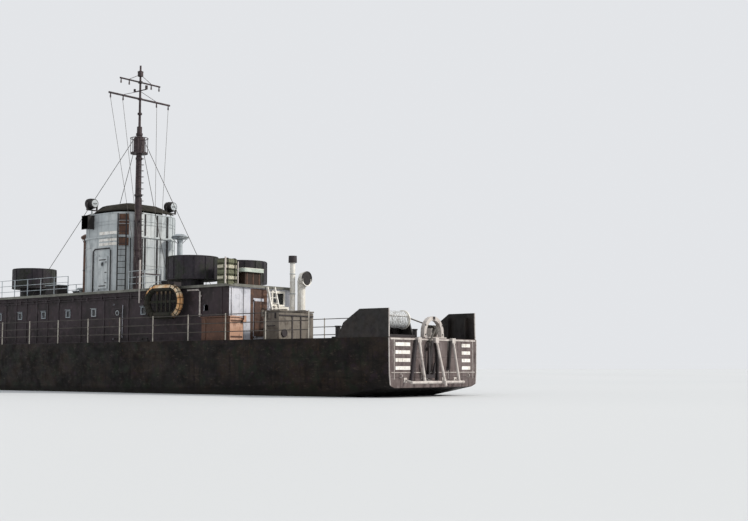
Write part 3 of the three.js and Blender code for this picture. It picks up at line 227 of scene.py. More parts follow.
def hull_paint():
    """Near-black sides, dark paint with painted shade; a grey transom, painted lighter as the sunlit face;
    painted shade on faces that look down; a worn deck and a dirty band at the water.
    """
    shade = Shade("hull_side", 0.0, 0.12)
    # The near-black is the sides' dark paint with painted shade on top.
    side = shade.weathered((0x161311, 0x29211B, 0x291E25), 1.5, 0.8, 0x42301F, 0.8, 0x090807)
    side = shade.stain(side, 0x1C2419, 0.5, 0.64, 0.6, 2.6, 5, 0.65, 12.0)
    side = shade.stain(side, 0x433B35, 0.54, 0.68, 0.6, (7, 7, 18), 6, 0.75, 17.0)
    side = shade.stain(side, 0x0B0A0A, 0.5, 0.66, 0.6, (1.6, 1.6, 4), 4, 0.6, 27.0)
    # The transom's own grey, painted lighter as the face the sun lights.
    transom = shade.weathered((0x6A605E, 0x554B4A, 0x7D7474), 2.2, 0.85, 0x56392E, 0.85, 0x2C2524)
    deck = shade.weathered((0x45423D, 0x383530, 0x57534B), 1.5, 0.4, 0x4F3527, 0.0)
    aft = shade.math("LESS_THAN", shade.axis(shade.place, "X"), (STERN + 0.012) * S)
    # Painted shade: faces that look down, under the counter, go near black.
    underside_shade = shade.where(shade.normal, "Z", -0.2, -0.35)
    wet = shade.math("MULTIPLY", shade.where(shade.place, "Z", 0.17, 0.05), 0.85)
    slime = shade.ramp(shade.noise((5, 5, 14), 5, 0.6, 8.2), 0.45, 0.7, 0, 0.6)
    slime = shade.math("MULTIPLY", slime, shade.where(shade.place, "Z", 0.08, 0.0))
    flat = shade.where(shade.normal, "Z", 0.9, 0.97)
    colour = side
    for share, tone in ((aft, transom), (underside_shade, linear(0x14110F)), (wet, linear(0x1A1714)),
                        (slime, linear(0x2B3424)), (flat, deck)):
        colour = shade.mix(share, colour, tone)
    plates = shade.new("ShaderNodeTexBrick")
    turn = shade.new("ShaderNodeCombineXYZ")
    shade.link(shade.axis(shade.place, "X"), turn.inputs[0])
    shade.link(shade.axis(shade.place, "Z"), turn.inputs[1])
    shade.link(turn.outputs[0], plates.inputs["Vector"])
    for key, number in (("Scale", 1.0), ("Mortar Size", 0.006), ("Mortar Smooth", 0.4), ("Brick Width", 1.5)):
        plates.inputs[key].default_value = number
    plates.inputs["Row Height"].default_value = 0.42
    seams = plates.outputs["Fac"]
    colour = shade.mix(shade.math("MULTIPLY", seams, 0.5), colour, linear(0x0F0E0D))
    dents = shade.mix(0.5, shade.grain(60, 4), shade.noise((1.9, 1.9, 2.6), 2, 0.5, 6.0))
    height = shade.mix(shade.math("MULTIPLY", seams, 0.6), dents, (0.9, 0.9, 0.9, 1))
    rough = shade.ramp(shade.noise(4, 4, 0.6, 9.0), 0.35, 0.7, 0.42, 0.75)
    return shade.finish(colour, rough, height, 0.55, 0.012)


def two_tone(name, first, second, share_of, rough=0.66, scale=1.5, strength=0.3, **wear):
    """Two tones on one surface: two paints, or one paint with a painted-shade copy. share_of gives the share
    of the second one from the Shade.
    """
    shade = Shade(name, 0.0, 0.25)
    one = shade.weathered(first, scale, **wear)
    two = shade.weathered(second, scale * 1.3, **wear)
    colour = shade.mix(share_of(shade), one, two)
    return shade.finish(colour, rough, shade.grain(), strength)


def facing_sides(shade):
    """1 on faces that look to port or starboard, where the painted shade goes."""
    return shade.ramp(shade.math("ABSOLUTE", shade.axis(shade.normal, "Y")), 0.55, 0.75)


def float_shadow(shade):
    """Painted shade on a side float: 1 everywhere except the upper side of its top run and the outside of its
    after end, which are painted lit.
    """
    up = shade.where(shade.normal, "Z", -0.1, 0.3)
    high = shade.where(shade.place, "Z", (FLOAT_Z + 0.3) * S, (FLOAT_Z + 0.5) * S)
    back = shade.where(shade.normal, "X", 0.0, -0.4)
    aft = shade.where(shade.place, "X", (FLOAT_X - 0.7) * S, (FLOAT_X - 0.9) * S)
    lit = shade.math("MAXIMUM", shade.math("MULTIPLY", up, high), shade.math("MULTIPLY", back, aft))
    return shade.math("SUBTRACT", 1.0, lit)


def rail_lines(shade):
    """1 on the level lines of a rail, 0 on its posts."""
    return shade.ramp(shade.math("ABSOLUTE", shade.axis(shade.normal, "Z")), 0.2, 0.4)


def below(height):
    """1 below a height, given in metres of the real craft."""
    return lambda shade: shade.where(shade.place, "Z", (height + 0.01) * S, (height - 0.01) * S)


def plain(name, tone, dark, rough=0.5, metallic=0.0, scale=6.0, strength=0.15, specular=0.4):
    shade = Shade(name, metallic, specular)
    colour = shade.stain(linear(tone), dark, 0.4, 0.7, 1.0, scale, 5, 0.6)
    colour = shade.stain(colour, dark, 0.5, 0.72, 0.5, scale * 6, 3, 0.5, 2.0)
    return shade.finish(colour, rough, shade.grain(80, 9), strength)


def planks(name, tone, dark, pitch):
    """Painted planks that run fore and aft, with worn seams."""
    shade = Shade(name)
    grain = shade.ramp(shade.noise((2, 26, 26), 5, 0.6), 0.35, 0.7)
    colour = shade.mix(grain, linear(tone), linear(dark))
    wave = shade.new("ShaderNodeTexWave")
    wave.bands_direction = "Z"
    wave.inputs["Scale"].default_value = pitch
    wave.inputs["Distortion"].default_value = 0.4
    shade.link(shade.place, wave.inputs["Vector"])
    colour = shade.mix(shade.ramp(wave.outputs[1], 0.0, 0.16, 0.7, 0.0), colour, linear(0x2A231C))
    colour = shade.stain(colour, dark, 0.5, 0.7, 0.6, 3.2, 5, 0.6, 4.0)
    return shade.finish(colour, 0.78, grain, 0.4)


# Painted shade: these darker tones go on the deckhouse's faces that look to port and starboard.
HOUSE_SHADE_TONES = (0x393034, 0x2A2526, 0x473D41)
MATS = {
    "hull": hull_paint(),
    # Near-black as on the hull's sides: dark paint with painted shade.
    "bulwark": paint("bulwark", (0x161311, 0x221B17, 0x1F181D), rust=0.7, rust_tone=0x3A291C, scale=2.0,
                     metallic=0.0),
    "pale": paint("pale_steel", (0x9DA6AC, 0xB4BABD, 0x8A8F92), rust=0.55, streak=0.55, scale=1.4,
                  streak_tone=0x4A4743),
    "tower": paint("tower_paint", (0xB2B8BA, 0xC3C7C7, 0x9AA0A2), rust=0.35, streak=0.6,
                   streak_tone=0x5C5F61),
    "wall": two_tone("house_paint", (0xC3C5CE, 0xD0D1D8, 0xA6A9B1), HOUSE_SHADE_TONES, facing_sides,
                     rust=0.6, streak=0.6, streak_tone=0x2A2725),
    # The same painted shade, for fittings on the side walls.
    "side": paint("house_side_paint", HOUSE_SHADE_TONES, rust=0.6, streak=0.6, streak_tone=0x2A2725, metallic=0.0),
    "trunk": paint("trunk_paint", (0x6F685F, 0x7D766D, 0x4E453D), rust=0.8, streak=0.7, scale=1.8),
    "roof": paint("roof_paint", (0x77776F, 0x65655E, 0x86867E), rust=0.5, streak=0.0, scale=1.5),
    "dark": paint("dark_steel", (0x2A2727, 0x363033, 0x211F1C), rust=0.5, rust_tone=0x47301F),
    "mast": paint("mast_paint", (0x3A2E31, 0x2A2426, 0x4A3C3C), rust=0.5, rust_tone=0x513524, scale=2),
    # Near-black: the tubs' dark paint, deepened as painted shade.
    "tub": paint("tub_paint", (0x19131C, 0x181C13, 0x2A1F2C), rust=0.8, rust_tone=0x3D2A24, scale=3.2,
                 metallic=0.0),
    "white": paint("white_paint", (0xE4E2DC, 0xD8D4CA, 0xC7C1B4), rust=0.5, streak=0.4, scale=3,
                   streak_tone=0x8A827A),
    "mark": paint("mark_paint", (0xEDEBE6, 0xDEDAD2, 0xB9B2A8), rust=0.35, streak=0.55, scale=4,
                  streak_tone=0x7A7270),
    "guard": paint("guard_paint", (0xB7AFAA, 0xC8C2BC, 0x8C827C), rust=0.8, streak=0.3, scale=3),
    "brown": paint("brown_paint", (0x5E4336, 0x4A362E, 0x75543F), rust=0.6, scale=2),
    # Lit and shaded copies of one paint: pale orange where lit, brown as painted shade on the faces that look
    # to port and starboard.
    "locker": two_tone("locker_paint", (0xB08A74, 0xBF9C88, 0x8A6450), (0x5C4236, 0x4B352B, 0x6F4F3E),
                       facing_sides, rust=0.6, streak=0.4, scale=2.4),
    # Lit and shaded copies of one paint: orange and cream on the lit runs, near black as painted shade on the
    # rest.
    "float": two_tone("float_paint", (0xD9A874, 0xEAD9BC, 0xC2824C), (0x2E2C26, 0x22251C, 0x3E342B),
                      float_shadow, rough=0.8, scale=2.6, strength=0.5, rust=0.3, streak=0.3),
    # Painted shade: dark below the lid's height, pale above it.
    "roof_box": two_tone("roof_box_paint", (0xB7C2B8, 0xA6AFA6, 0xC8CFC6), (0x33271F, 0x261E19, 0x41322A),
                         below(ROOF + 0.72), rust=0.4, streak=0.3),
    "rail": two_tone("rail_paint", (0xA9A399, 0xBBB5AA, 0x857E74), (0x4E4945, 0x3C3835, 0x5F5954),
                     rail_lines, rust=0.4, streak=0.0),
    "slats": planks("slat_wood", 0x7C8067, 0x4B4A3A, 9.0),
    "cream": planks("cream_wood", 0xD5D1BD, 0x9A9480, 9.0),
    "ramp": planks("ramp_wood", 0x6A6358, 0x453E35, 7.0),
    "coil": plain("pale_wire", 0xDADDDF, 0x8F8C88, 0.6, 0.0, 26, 0.5),
    "steel": plain("worn_steel", 0x77736E, 0x3E3935, 0.42, 0.75),
    "wire": plain("wire_rope", 0x5A5651, 0x2B2826, 0.55, 0.6, 30, 0.6),
    "bronze": plain("bronze", 0x8E6B37, 0x4C4A33, 0.4, 0.85, 9, 0.3),
    "canvas": plain("canvas", 0x35322C, 0x211F1B, 0.92, 0.0, 12, 0.6, 0.1),
    "rubber": plain("rubber_mat", 0x1B1A19, 0x0F0E0E, 0.8, 0.0, 14, 0.3),
    "glass": plain("dark_glass", 0x141A1E, 0x0B0E10, 0.12, 0.0, 3, 0.03, 0.6),
    "lens": plain("lamp_lens", 0xC9CCC8, 0x8E938F, 0.2, 0.2, 8, 0.1, 0.6),
}


def both(name):
    return [name + "_port", name + "_starboard"]


NODE_PAINT = {
    "hull": ["hull", "hull_shoulder", "hull_bow", *both("rudder")],
    "bulwark": ["bow_bulwark", *both("stern_bulwark")],
    "guard": ["anchor_guard", "roller_frame"],
    "dark": ["stern_anchor", "winch_base", *both("searchlight"),
             *both("ramp_track"), "windlass_bed", "tower_ladder"],
    "steel": ["stern_sheave", "windlass_drum", *both("shaft_bracket")],
    "white": ["winch_drum", "deckhouse_ladder", "galley_stack", "cowl_ventilator"],
    "trunk": ["after_hatch", "after_hatch_lid", "forward_hatch", "forward_hatch_lid"],
    "locker": ["port_locker", "port_locker_lid"],
    "wall": ["deckhouse_walls", *both("deckhouse_door")],
    "brown": ["deckhouse_door_after", "ventilator_fore"],
    "roof": ["deckhouse_roof"],
    "roof_box": ["roof_locker"],
    "tower": ["pilothouse_walls", "pilothouse_door", "bridge_wall", "bridge_floor"],
    "canvas": ["bridge_canopy"],
    "mast": ["mast"],
    "tub": ["bow_tub", "middle_tub", "port_tub", "starboard_tub"],
    "slats": ["float_stack"],
    "float": both("life_float"),
    "pale": ["ventilator_after"],
    "rail": both("side_rail"),
    "ramp": both("gangway_ramp"),
    "bronze": both("propeller"),
}
for key, names in NODE_PAINT.items():
    for name in names:
        NODES[name].data.materials.clear()
        NODES[name].data.materials.append(MATS[key])
missing = set(NODES).difference(*NODE_PAINT.values())
assert not missing, missing


# Shapes
BOX_FACES = [(0, 3, 2, 1), (4, 5, 6, 7), (0, 1, 5, 4), (1, 2, 6, 5), (2, 3, 7, 6), (3, 0, 4, 7)]


def turns(count, shift=0.0):
    """Angles spread evenly round a circle."""
    return [2 * math.pi * (i + shift) / count for i in range(count)]


def across(side, wall, low, high):
    """The Y values, lower first, of a band low to high metres out from a wall on one side."""
    return sorted((side * (wall + low), side * (wall + high)))


def deck_height(x):
    """The deck is level aft and rises forward in two straight slopes."""
    first = min(max(x - SHEER_START, 0) / (SHEER_BEND - SHEER_START), 1)
    second = max(x - SHEER_BEND, 0) / (BOW - SHEER_BEND)
    return DECK + SHEER_LOW * first + SHEER_HIGH * second


class Piece:
    """Collects closed shapes into one mesh object."""

    def __init__(self, name, material, body="craft"):
        self.name, self.body = name, body
        self.materials = [material]
        self.vertices, self.faces, self.slots = [], [], []
        self.current = 0

    def use(self, material):
        if material not in self.materials:
            self.materials.append(material)
        self.current = self.materials.index(material)
        return self

    def add(self, vertices, faces):
        start = len(self.vertices)
        self.vertices += [tuple(v) for v in vertices]
        self.faces += [[start + i for i in face] for face in faces]
        self.slots += [self.current] * len(faces)
        return self

    def box(self, x0, x1, y0, y1, z0, z1):
        corners = ((x0, y0), (x1, y0), (x1, y1), (x0, y1))
        return self.add([(x, y, z) for z in (z0, z1) for x, y in corners], BOX_FACES)

    def block(self, x, y, half_x, half_y, low, high):
        """A box about an upright line."""
        return self.box(x - half_x, x + half_x, y - half_y, y + half_y, low, high)

    def rings(self, rings, closed=False):
        """Skins rings of points in order, with caps unless the last joins the first."""
        count = len(rings[0])
        points = [p for ring in rings for p in ring]
        faces = []
        total = len(rings)
        for r in range(total if closed else total - 1):
            a, b = r * count, ((r + 1) % total) * count
            for i in range(count):
                j = (i + 1) % count
                faces.append((a + i, a + j, b + j, b + i))
        if not closed:
            faces.append(tuple(reversed(range(count))))
            faces.append(tuple((total - 1) * count + i for i in range(count)))
        return self.add(points, faces)

    def tube(self, path, radius, sides=8, closed=False, radii=None):
        """A round bar along a path of points."""
        path = [Vector(p) for p in path]
        total = len(path)
        rings = []
        for i, point in enumerate(path):
            before = path[i - 1] if i or closed else path[i]
            after = path[(i + 1) % total] if i + 1 < total or closed else path[i]
            along = (after - before).normalized()
            up = Vector(UP) if abs(along.z) < 0.9 else Vector(AHEAD)
            side = along.cross(up).normalized()
            up = side.cross(along)
            size = radii[i] if radii else radius
            rings.append([point + (side * math.cos(t) + up * math.sin(t)) * size for t in turns(sides)])
        return self.rings(rings, closed)

    def rod(self, a, b, radius, sides=8, end=None):
        return self.tube([a, b], radius, sides, radii=[radius, radius if end is None else end])

    def post(self, x, y, low, high, radius, sides=8, end=None):
        """An upright rod."""
        return self.rod((x, y, low), (x, y, high), radius, sides, end)

    def disc(self, centre, axis, radius, thick, sides=20):
        centre, axis = Vector(centre), Vector(axis).normalized()
        return self.rod(centre - axis * thick / 2, centre + axis * thick / 2, radius, sides)

    def torus(self, centre, axis, radius, tube, count=20, sides=8):
        centre, axis = Vector(centre), Vector(axis).normalized()
        other = Vector(UP) if abs(axis.z) < 0.9 else Vector(AHEAD)
        u = axis.cross(other).normalized()
        v = axis.cross(u)
        path = [centre + (u * math.cos(t) + v * math.sin(t)) * radius for t in turns(count)]
        return self.tube(path, tube, sides, closed=True)

    def make(self, bevel=0.0, smooth=40.0):
        """The mesh object, on its body. The bevel is in metres of the real craft."""
        mesh = bpy.data.meshes.new(self.name)
        mesh.from_pydata([(x * S, y * S, z * S) for x, y, z in self.vertices], [], self.faces)
        for polygon, index in zip(mesh.polygons, self.slots):
            polygon.material_index = index
        for material in self.materials:
            mesh.materials.append(MATS[material])
        mesh.update()
        piece = bpy.data.objects.new(self.name, mesh)
        scene.collection.objects.link(piece)
        if bevel:
            modifier = piece.modifiers.new("bevel", "BEVEL")
            modifier.width = bevel * S
            modifier.segments = 2
            modifier.limit_method = "ANGLE"
            modifier.angle_limit = math.radians(50)
        mesh.set_sharp_from_angle(angle=math.radians(smooth))
        for polygon in mesh.polygons:
            polygon.use_smooth = True
        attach(piece, self.body)
        return piece


# Transom: white bars, plate seams and two eyes
marks = Piece("transom_marks", "mark")
for low_y, high_y in ((1.75, 2.75), (-2.7, -2.05)):
    for row in range(4):
        z = 1.15 + row * 0.33
        marks.box(STERN - 0.012, STERN - GAP, low_y, high_y, z, z + 0.15)
marks.make()

seams = Piece("transom_seams", "guard")
for y in (-2.9, -1.0, 0.95, 2.85):
    seams.box(STERN - 0.02, STERN - GAP, y - 0.015, y + 0.015, 0.75, 2.46)
seams.box(STERN - 0.025, STERN - GAP, -3.1, 3.1, 2.4, 2.47)
seams.box(STERN - 0.02, STERN - GAP, -3.05, 3.05, 1.02, 1.05)
for y in (-2.45, 2.45):
    seams.torus((STERN - 0.05, y, 0.9), OUT, 0.08, 0.02, 14, 6)
seams.make(0.004)

# Deck: mooring bitts and chocks
bitts = Piece("mooring_bitts", "dark")
for x, y in ((-21.3, 2.75), (-21.3, -2.75), (13.2, 1.9), (13.2, -1.9)):
    z = deck_height(x)
    bitts.block(x, y, 0.5, 0.17, z + GAP, z + 0.07)
    for dx in (-0.28, 0.28):
        bitts.post(x + dx, y, z + 0.06, z + 0.5, 0.11, 16)
        bitts.post(x + dx, y, z + 0.48, z + 0.54, 0.14, 16)
bitts.make(bevel=0.01)

chocks = Piece("deck_chocks", "dark")
for x, y in ((-22.9, 2.2), (-22.9, -2.2), (-9.0, 3.3), (-9.0, -3.3), (4.0, 3.3), (4.0, -3.3)):
    z = deck_height(x)
    chocks.block(x, y, 0.3, 0.08, z + GAP, z + 0.06)
    ring = [(x + 0.22 * math.cos(t), y, z + 0.12 + 0.1 * math.sin(t)) for t in turns(18)]
    chocks.tube(ring, 0.05, 8, closed=True)
chocks.make()

# Winch: wire in one layer on the drum, bearing caps, bolts and two boxes
coil = Piece("winch_wire", "coil", "winch")
coil_turns, coil_half = 13, 0.68
for i in range(coil_turns):
    y = WINCH_Y - coil_half + 2 * coil_half * i / (coil_turns - 1)
    coil.torus((WINCH_X, y, WINCH_Z), OUT, 0.335, 0.05, 24, 6)
coil.make()

winch = Piece("winch_fittings", "dark")
for y in (WINCH_Y - 1.04, WINCH_Y + 1.04):
    winch.disc((WINCH_X, y, WINCH_Z), OUT, 0.13, 0.06, 16)
    for t in turns(6):
        bolt = (WINCH_X + 0.09 * math.cos(t), y, WINCH_Z + 0.09 * math.sin(t))
        winch.disc(bolt, OUT, 0.018, 0.1, 6)
for y0, y1, top in ((0.75, 1.15, 0.5), (1.9, 2.4, 0.44)):
    winch.box(WINCH_X + 0.25, WINCH_X + 0.52, y0, y1, DECK + 0.14, DECK + top)
winch.make(bevel=0.01)

# Roller frame: bolts at its feet and a plate under the sheave
feet = Piece("arch_fittings", "dark")
for y in (ARCH_Y - 0.62, ARCH_Y + 0.62):
    for z in (DECK + 0.17, DECK + 0.57):
        feet.disc((STERN + 0.19, y, z), AHEAD, 0.03, 0.03, 8)
feet.box(STERN + 0.17, STERN + 0.2, ARCH_Y - 0.06, ARCH_Y + 0.06, DECK + 0.82, DECK + 0.95)
feet.make()

# Guard: a painted shadow beside each bar, as a dark rod near the transom with a dark patch at its foot, and
# the anchor's wire over the sheave to the winch
bar_shadows = Piece("guard_bar_shadows", "dark")
for top_y, foot_y, foot_z in ((1.42, 1.75, 0.7), (0.3, 0.52, 1.0), (-0.1, -0.12, 0.72), (-1.08, -0.97, 1.2)):
    bar_shadows.rod((STERN - 0.07, top_y, 2.4), (STERN - 0.07, foot_y, foot_z), 0.085, 8, 0.06)
    bar_shadows.box(STERN - 0.03, STERN - GAP, foot_y - 0.1, foot_y + 0.1, foot_z - 0.08, foot_z + 0.08)
bar_shadows.make()

tackle = Piece("anchor_wire", "wire")
shackle_y = 0.6
rising = [(STERN - 0.14, shackle_y, 2.25), (STERN - 0.12, 0.3, 2.62), (STERN + 0.06, ARCH_Y + 0.05, 2.96)]
tackle.tube(rising, 0.045, 8)
tackle.rod((STERN + 0.34, ARCH_Y + 0.02, 3.03), (WINCH_X - 0.3, 1.0, WINCH_Z + 0.12), 0.03, 8)
for i in range(3):
    link = (STERN - 0.14, shackle_y - 0.02 * i, 2.16 + 0.08 * i)
    tackle.torus(link, (i % 2, 1 - i % 2, 0), 0.07, 0.022, 14, 6)
tackle.make()

# Pale beads down the after edges of the bulwarks and of the transom, as painted highlights where these edges
# catch the sun
edges = Piece("stern_edges", "guard")
for side in SIDES:
    edges.tube([(STERN + 0.03, side * 3.14, DECK + 1.2), (STERN + 0.02, side * 3.15, DECK + 0.02)], 0.028, 6)
    corner = [(STERN - 0.006, side * y, z) for y, z in ((3.19, DECK - 0.03), (3.165, 1.0), (3.1, 0.52))]
    edges.tube(corner, 0.024, 6)
edges.make()

# After hatch: dogs and grab bars on its sides, a round vent and ribs on its after face, grips on its lid
trunk = Piece("trunk_fittings", "dark")
for side in SIDES:
    for x in (HATCH_BACK + 0.22, HATCH_FRONT - 0.22):
        trunk.box(x - 0.03, x + 0.03, *across(side, HATCH_HALF, 0, 0.05), 3.55, 3.8)
    wall_y, bar_y = side * (HATCH_HALF + GAP), side * (HATCH_HALF + 0.07)
    back, front = HATCH_BACK + 0.25, HATCH_FRONT - 0.25
    trunk.tube([(back, wall_y, 3.2), (back, bar_y, 3.2), (front, bar_y, 3.2), (front, wall_y, 3.2)], 0.02, 6)
vent_y, vent_z, vent_radius = 0.85, 2.86, 0.17
trunk.disc((HATCH_BACK - 0.02, vent_y, vent_z), AHEAD, vent_radius, 0.05, 18)
trunk.torus((HATCH_BACK - 0.03, vent_y, vent_z), AHEAD, vent_radius, 0.03, 20, 6)
for y in (-0.9, -0.3, 0.3):
    trunk.box(HATCH_BACK - 0.03, HATCH_BACK - GAP, y - 0.03, y + 0.03, 2.6, 3.7)
trunk.box(HATCH_BACK - 0.035, HATCH_BACK - GAP, -1.18, 1.18, 3.66, 3.72)
trunk.make(bevel=0.006)

lids = Piece("after_lid_grips", "dark", "after_lid")
for y in (-0.7, 0.7):
    grip = [(HATCH_BACK + ahead, y, z) for ahead, z in ((0.15, 3.93), (0.15, 3.97), (0.4, 3.97), (0.4, 3.93))]
    lids.tube(grip, 0.018, 6)
lids.make()

# Port locker: battens
lock = Piece("locker_fittings", "brown")
for x in (LOCKER_BACK + 0.25, LOCKER_FRONT - 0.25):
    lock.box(x - 0.04, x + 0.04, 3.3, 3.33, 2.55, 3.5)
for z in (2.62, 3.36):
    lock.box(LOCKER_BACK - 0.012, LOCKER_BACK - GAP, 2.5, 3.26, z, z + 0.08)
lock.make(0.004)


# Deckhouse windows: rims, rain brows and panes, and the larger window beside the after door
def wall_ring(piece, x, z, side, width, depth):
    """A frame round a square window in the deckhouse's side wall."""
    band = across(side, HOUSE_HALF, GAP, GAP + depth)
    inner, outer = WINDOW_HALF, WINDOW_HALF + width
    piece.box(x - outer, x + outer, *band, z + inner, z + outer)
    piece.box(x - outer, x + outer, *band, z - outer, z - inner)
    piece.box(x - outer, x - inner, *band, z - inner, z + inner)
    piece.box(x + inner, x + outer, *band, z - inner, z + inner)


rims = Piece("house_window_rims", "pale")
panes = Piece("house_window_panes", "glass")
pane_half = WINDOW_HALF - 0.003
for side in SIDES:
    for x in WINDOWS:
        wall_ring(rims, x, WINDOW_Z, side, 0.035, 0.03)
        brow = across(side, HOUSE_HALF, GAP, 0.07)
        rims.box(x - 0.24, x + 0.24, *brow, WINDOW_Z + 0.22, WINDOW_Z + 0.24)
        inset = across(side, HOUSE_HALF, -0.045, -0.03)
        panes.box(x - pane_half, x + pane_half, *inset, WINDOW_Z - pane_half, WINDOW_Z + pane_half)
rims.make(0.004)
panes.make()

frames = Piece("after_window_frame", "white")
y0, y1, z0, z1 = -1.5, -0.75, 4.35, 4.9
for bar in ((y0 - 0.1, y1 + 0.1, z1, z1 + 0.12), (y0 - 0.1, y1 + 0.1, z0 - 0.08, z0),
            (y0 - 0.1, y0, z0, z1), (y1, y1 + 0.1, z0, z1)):
    frames.box(HOUSE_BACK - 0.05, HOUSE_BACK - GAP, *bar)
frames.box(HOUSE_BACK - 0.3, HOUSE_BACK - GAP, y0 - 0.12, y1 + 0.13, z0 - 0.37, z0 - 0.11)
low, high = z0 + 0.002, z1 - 0.002
frames.use("glass").box(HOUSE_BACK + 0.02, HOUSE_BACK + 0.035, y0 + 0.002, y1 - 0.002, low, high)
frames.use("dark").box(HOUSE_BACK - 0.02, HOUSE_BACK + 0.02, -1.14, -1.1, low, high)
frames.make(0.006)

# Deckhouse walls: stiffeners, a foot band, brown strips on the after wall, pipes and poles
# The side walls' stiffeners and foot band take the side walls' painted shade.
ribs = Piece("house_ribs", "side")
rib_low, rib_high = DECK + 0.08, DECK + 2.55
for side in SIDES:
    for i in range(21):
        x = HOUSE_BACK + 0.5 + i * 0.98
        at_float = STERN + 11.5 < x < STERN + 15.9
        at_door = abs(x - DOOR_X - DOOR_WIDE / 2) < 0.6
        at_window = any(abs(x - window) < 0.3 for window in WINDOWS)
        if at_float or at_door or at_window or x > HOUSE_FRONT - 0.3:
            continue
        band = across(side, HOUSE_HALF, GAP, 0.035)
        ribs.box(x - 0.025, x + 0.025, *band, rib_low, rib_high)
    band = across(side, HOUSE_HALF, GAP, 0.05)
    ribs.box(HOUSE_BACK, HOUSE_FRONT, *band, DECK + 0.02, rib_low)
ribs.use("wall")
for y in (2.05, 1.25):
    ribs.box(HOUSE_BACK - 0.03, HOUSE_BACK - GAP, y - 0.025, y + 0.025, rib_low, rib_high)
ribs.make(0.004)

panel = Piece("after_wall_brown", "brown")
for y0, y1, low in ((0.6, 0.78, 0.05), (-0.36, -0.14, 0.05), (-0.14, 0.6, 2.1)):
    panel.box(HOUSE_BACK - 0.012, HOUSE_BACK - GAP, y0, y1, DECK + low, DECK + 2.56)
panel.make(0.003)

# The pipes and clips on the side walls take the side walls' painted shade too.
pipes = Piece("house_pipes", "side")
for side in SIDES:
    y = side * (HOUSE_HALF + 0.06)
    for z in (DECK + 2.3, DECK + 2.42):
        pipes.rod((STERN + 16.0, y, z), (HOUSE_FRONT - 0.1, y, z), 0.022, 6)
    for i in range(12):
        x = STERN + 16.3 + i * 1.2
        band = across(side, HOUSE_HALF, GAP, 0.09)
        pipes.box(x - 0.03, x + 0.03, *band, DECK + 2.26, DECK + 2.46)
pipes.use("pale")
for rise in (1.0, 2.4, 3.4):
    pipes.torus((GALLEY_X, GALLEY_Y, DECK + rise), UP, 0.14, 0.02, 16, 6)
pipes.make()

poles = Piece("port_poles", "guard")
x, y = TOWER_X - 3.61, HOUSE_HALF + 0.12
poles.post(x, y, 4.5, 6.7, 0.045, 10)
poles.rod((x, HOUSE_HALF, 4.7), (x, y, 4.7), 0.03, 8)
x, y = STERN + 12.35, HOUSE_HALF + 0.07
poles.tube([(x, y, 3.7), (x, y, 4.9), (x + 0.1, y, 5.0), (x + 0.9, y, 5.0)], 0.04, 8)
for z in (3.8, 4.7):
    poles.box(x - 0.06, x + 0.06, HOUSE_HALF + GAP, y + 0.02, z - 0.03, z + 0.03)
poles.make()

# Roof: a low coaming, life rails, chests and mushroom vents
edge = Piece("roof_edge", "roof")
for side in SIDES:
    band = across(side, HOUSE_HALF, 0.05, 0.11)
    edge.box(HOUSE_BACK + 0.1, HOUSE_FRONT - 0.1, *band, ROOF + GAP, ROOF + 0.05)
for x in (HOUSE_BACK - 0.11, HOUSE_FRONT + 0.05):
    edge.box(x, x + 0.06, -2.0, 2.0, ROOF + GAP, ROOF + 0.05)
edge.make(0.005)

rail = Piece("roof_rail", "pale")
for side in SIDES:
    y = side * 2.12
    for x0, x1 in ((STERN + 15.4, STERN + 17.9), (STERN + 23.0, HOUSE_FRONT - 0.2)):
        count = round((x1 - x0) / 1.25)
        for i in range(count + 1):
            x = x0 + (x1 - x0) * i / count
            rail.post(x, y, ROOF, ROOF + 1.0, 0.025)
        for rise in (0.35, 0.68, 1.0):
            rail.rod((x0, y, ROOF + rise), (x1, y, ROOF + rise), 0.016, 6)
rail.make()

gear = Piece("roof_gear", "dark")
for ahead, y, long, wide, high in ((16.7, 0.2, 0.5, 0.35, 0.55), (23.6, -1.3, 0.4, 0.3, 0.5),
                                   (25.4, 1.1, 0.55, 0.35, 0.62), (26.2, -1.2, 0.35, 0.35, 0.45)):
    x, top = STERN + ahead, ROOF + high
    gear.use("dark").block(x, y, long, wide, ROOF + GAP, top)
    long, wide = long + 0.04, wide + 0.04
    gear.use("pale").block(x, y, long, wide, top, top + 0.05)
for ahead, y in ((24.4, 0.2), (12.4, 0.1), (18.1, -1.7)):
    x = STERN + ahead
    gear.post(x, y, ROOF, ROOF + 0.45, 0.1, 14)
    gear.post(x, y, ROOF + 0.42, ROOF + 0.52, 0.24, 18, 0.2)
gear.make(bevel=0.01)

# Float stack: slats on each layer, straps and two corner posts
stack = Piece("float_stack_slats", "slats")
for i in range(5):
    z = ROOF + i * 0.27 + 0.045
    stack.use("cream" if i % 2 else "slats")
    for y in (STACK_Y - 0.446, STACK_Y + 0.446):
        stack.block(STACK_X, y, 0.2, 0.015, z, z + 0.15)
    for x in (STACK_X - 0.286, STACK_X + 0.286):
        stack.block(x, STACK_Y, 0.015, 0.36, z, z + 0.15)
stack.use("canvas")
for y in (STACK_Y - 0.24, STACK_Y + 0.24):
    for x in (STACK_X - 0.311, STACK_X + 0.311):
        stack.block(x, y, 0.009, 0.03, ROOF + 0.01, ROOF + 1.34)
    stack.block(STACK_X, y, 0.32, 0.03, ROOF + 1.325, ROOF + 1.345)
stack.use("guard")
for low, high, top in ((0.38, 0.45, 1.38), (-0.45, -0.4, 1.2)):
    stack.box(STACK_X - 0.34, STACK_X - 0.29, STACK_Y + low, STACK_Y + high, ROOF + 0.01, ROOF + top)
stack.make(0.004)

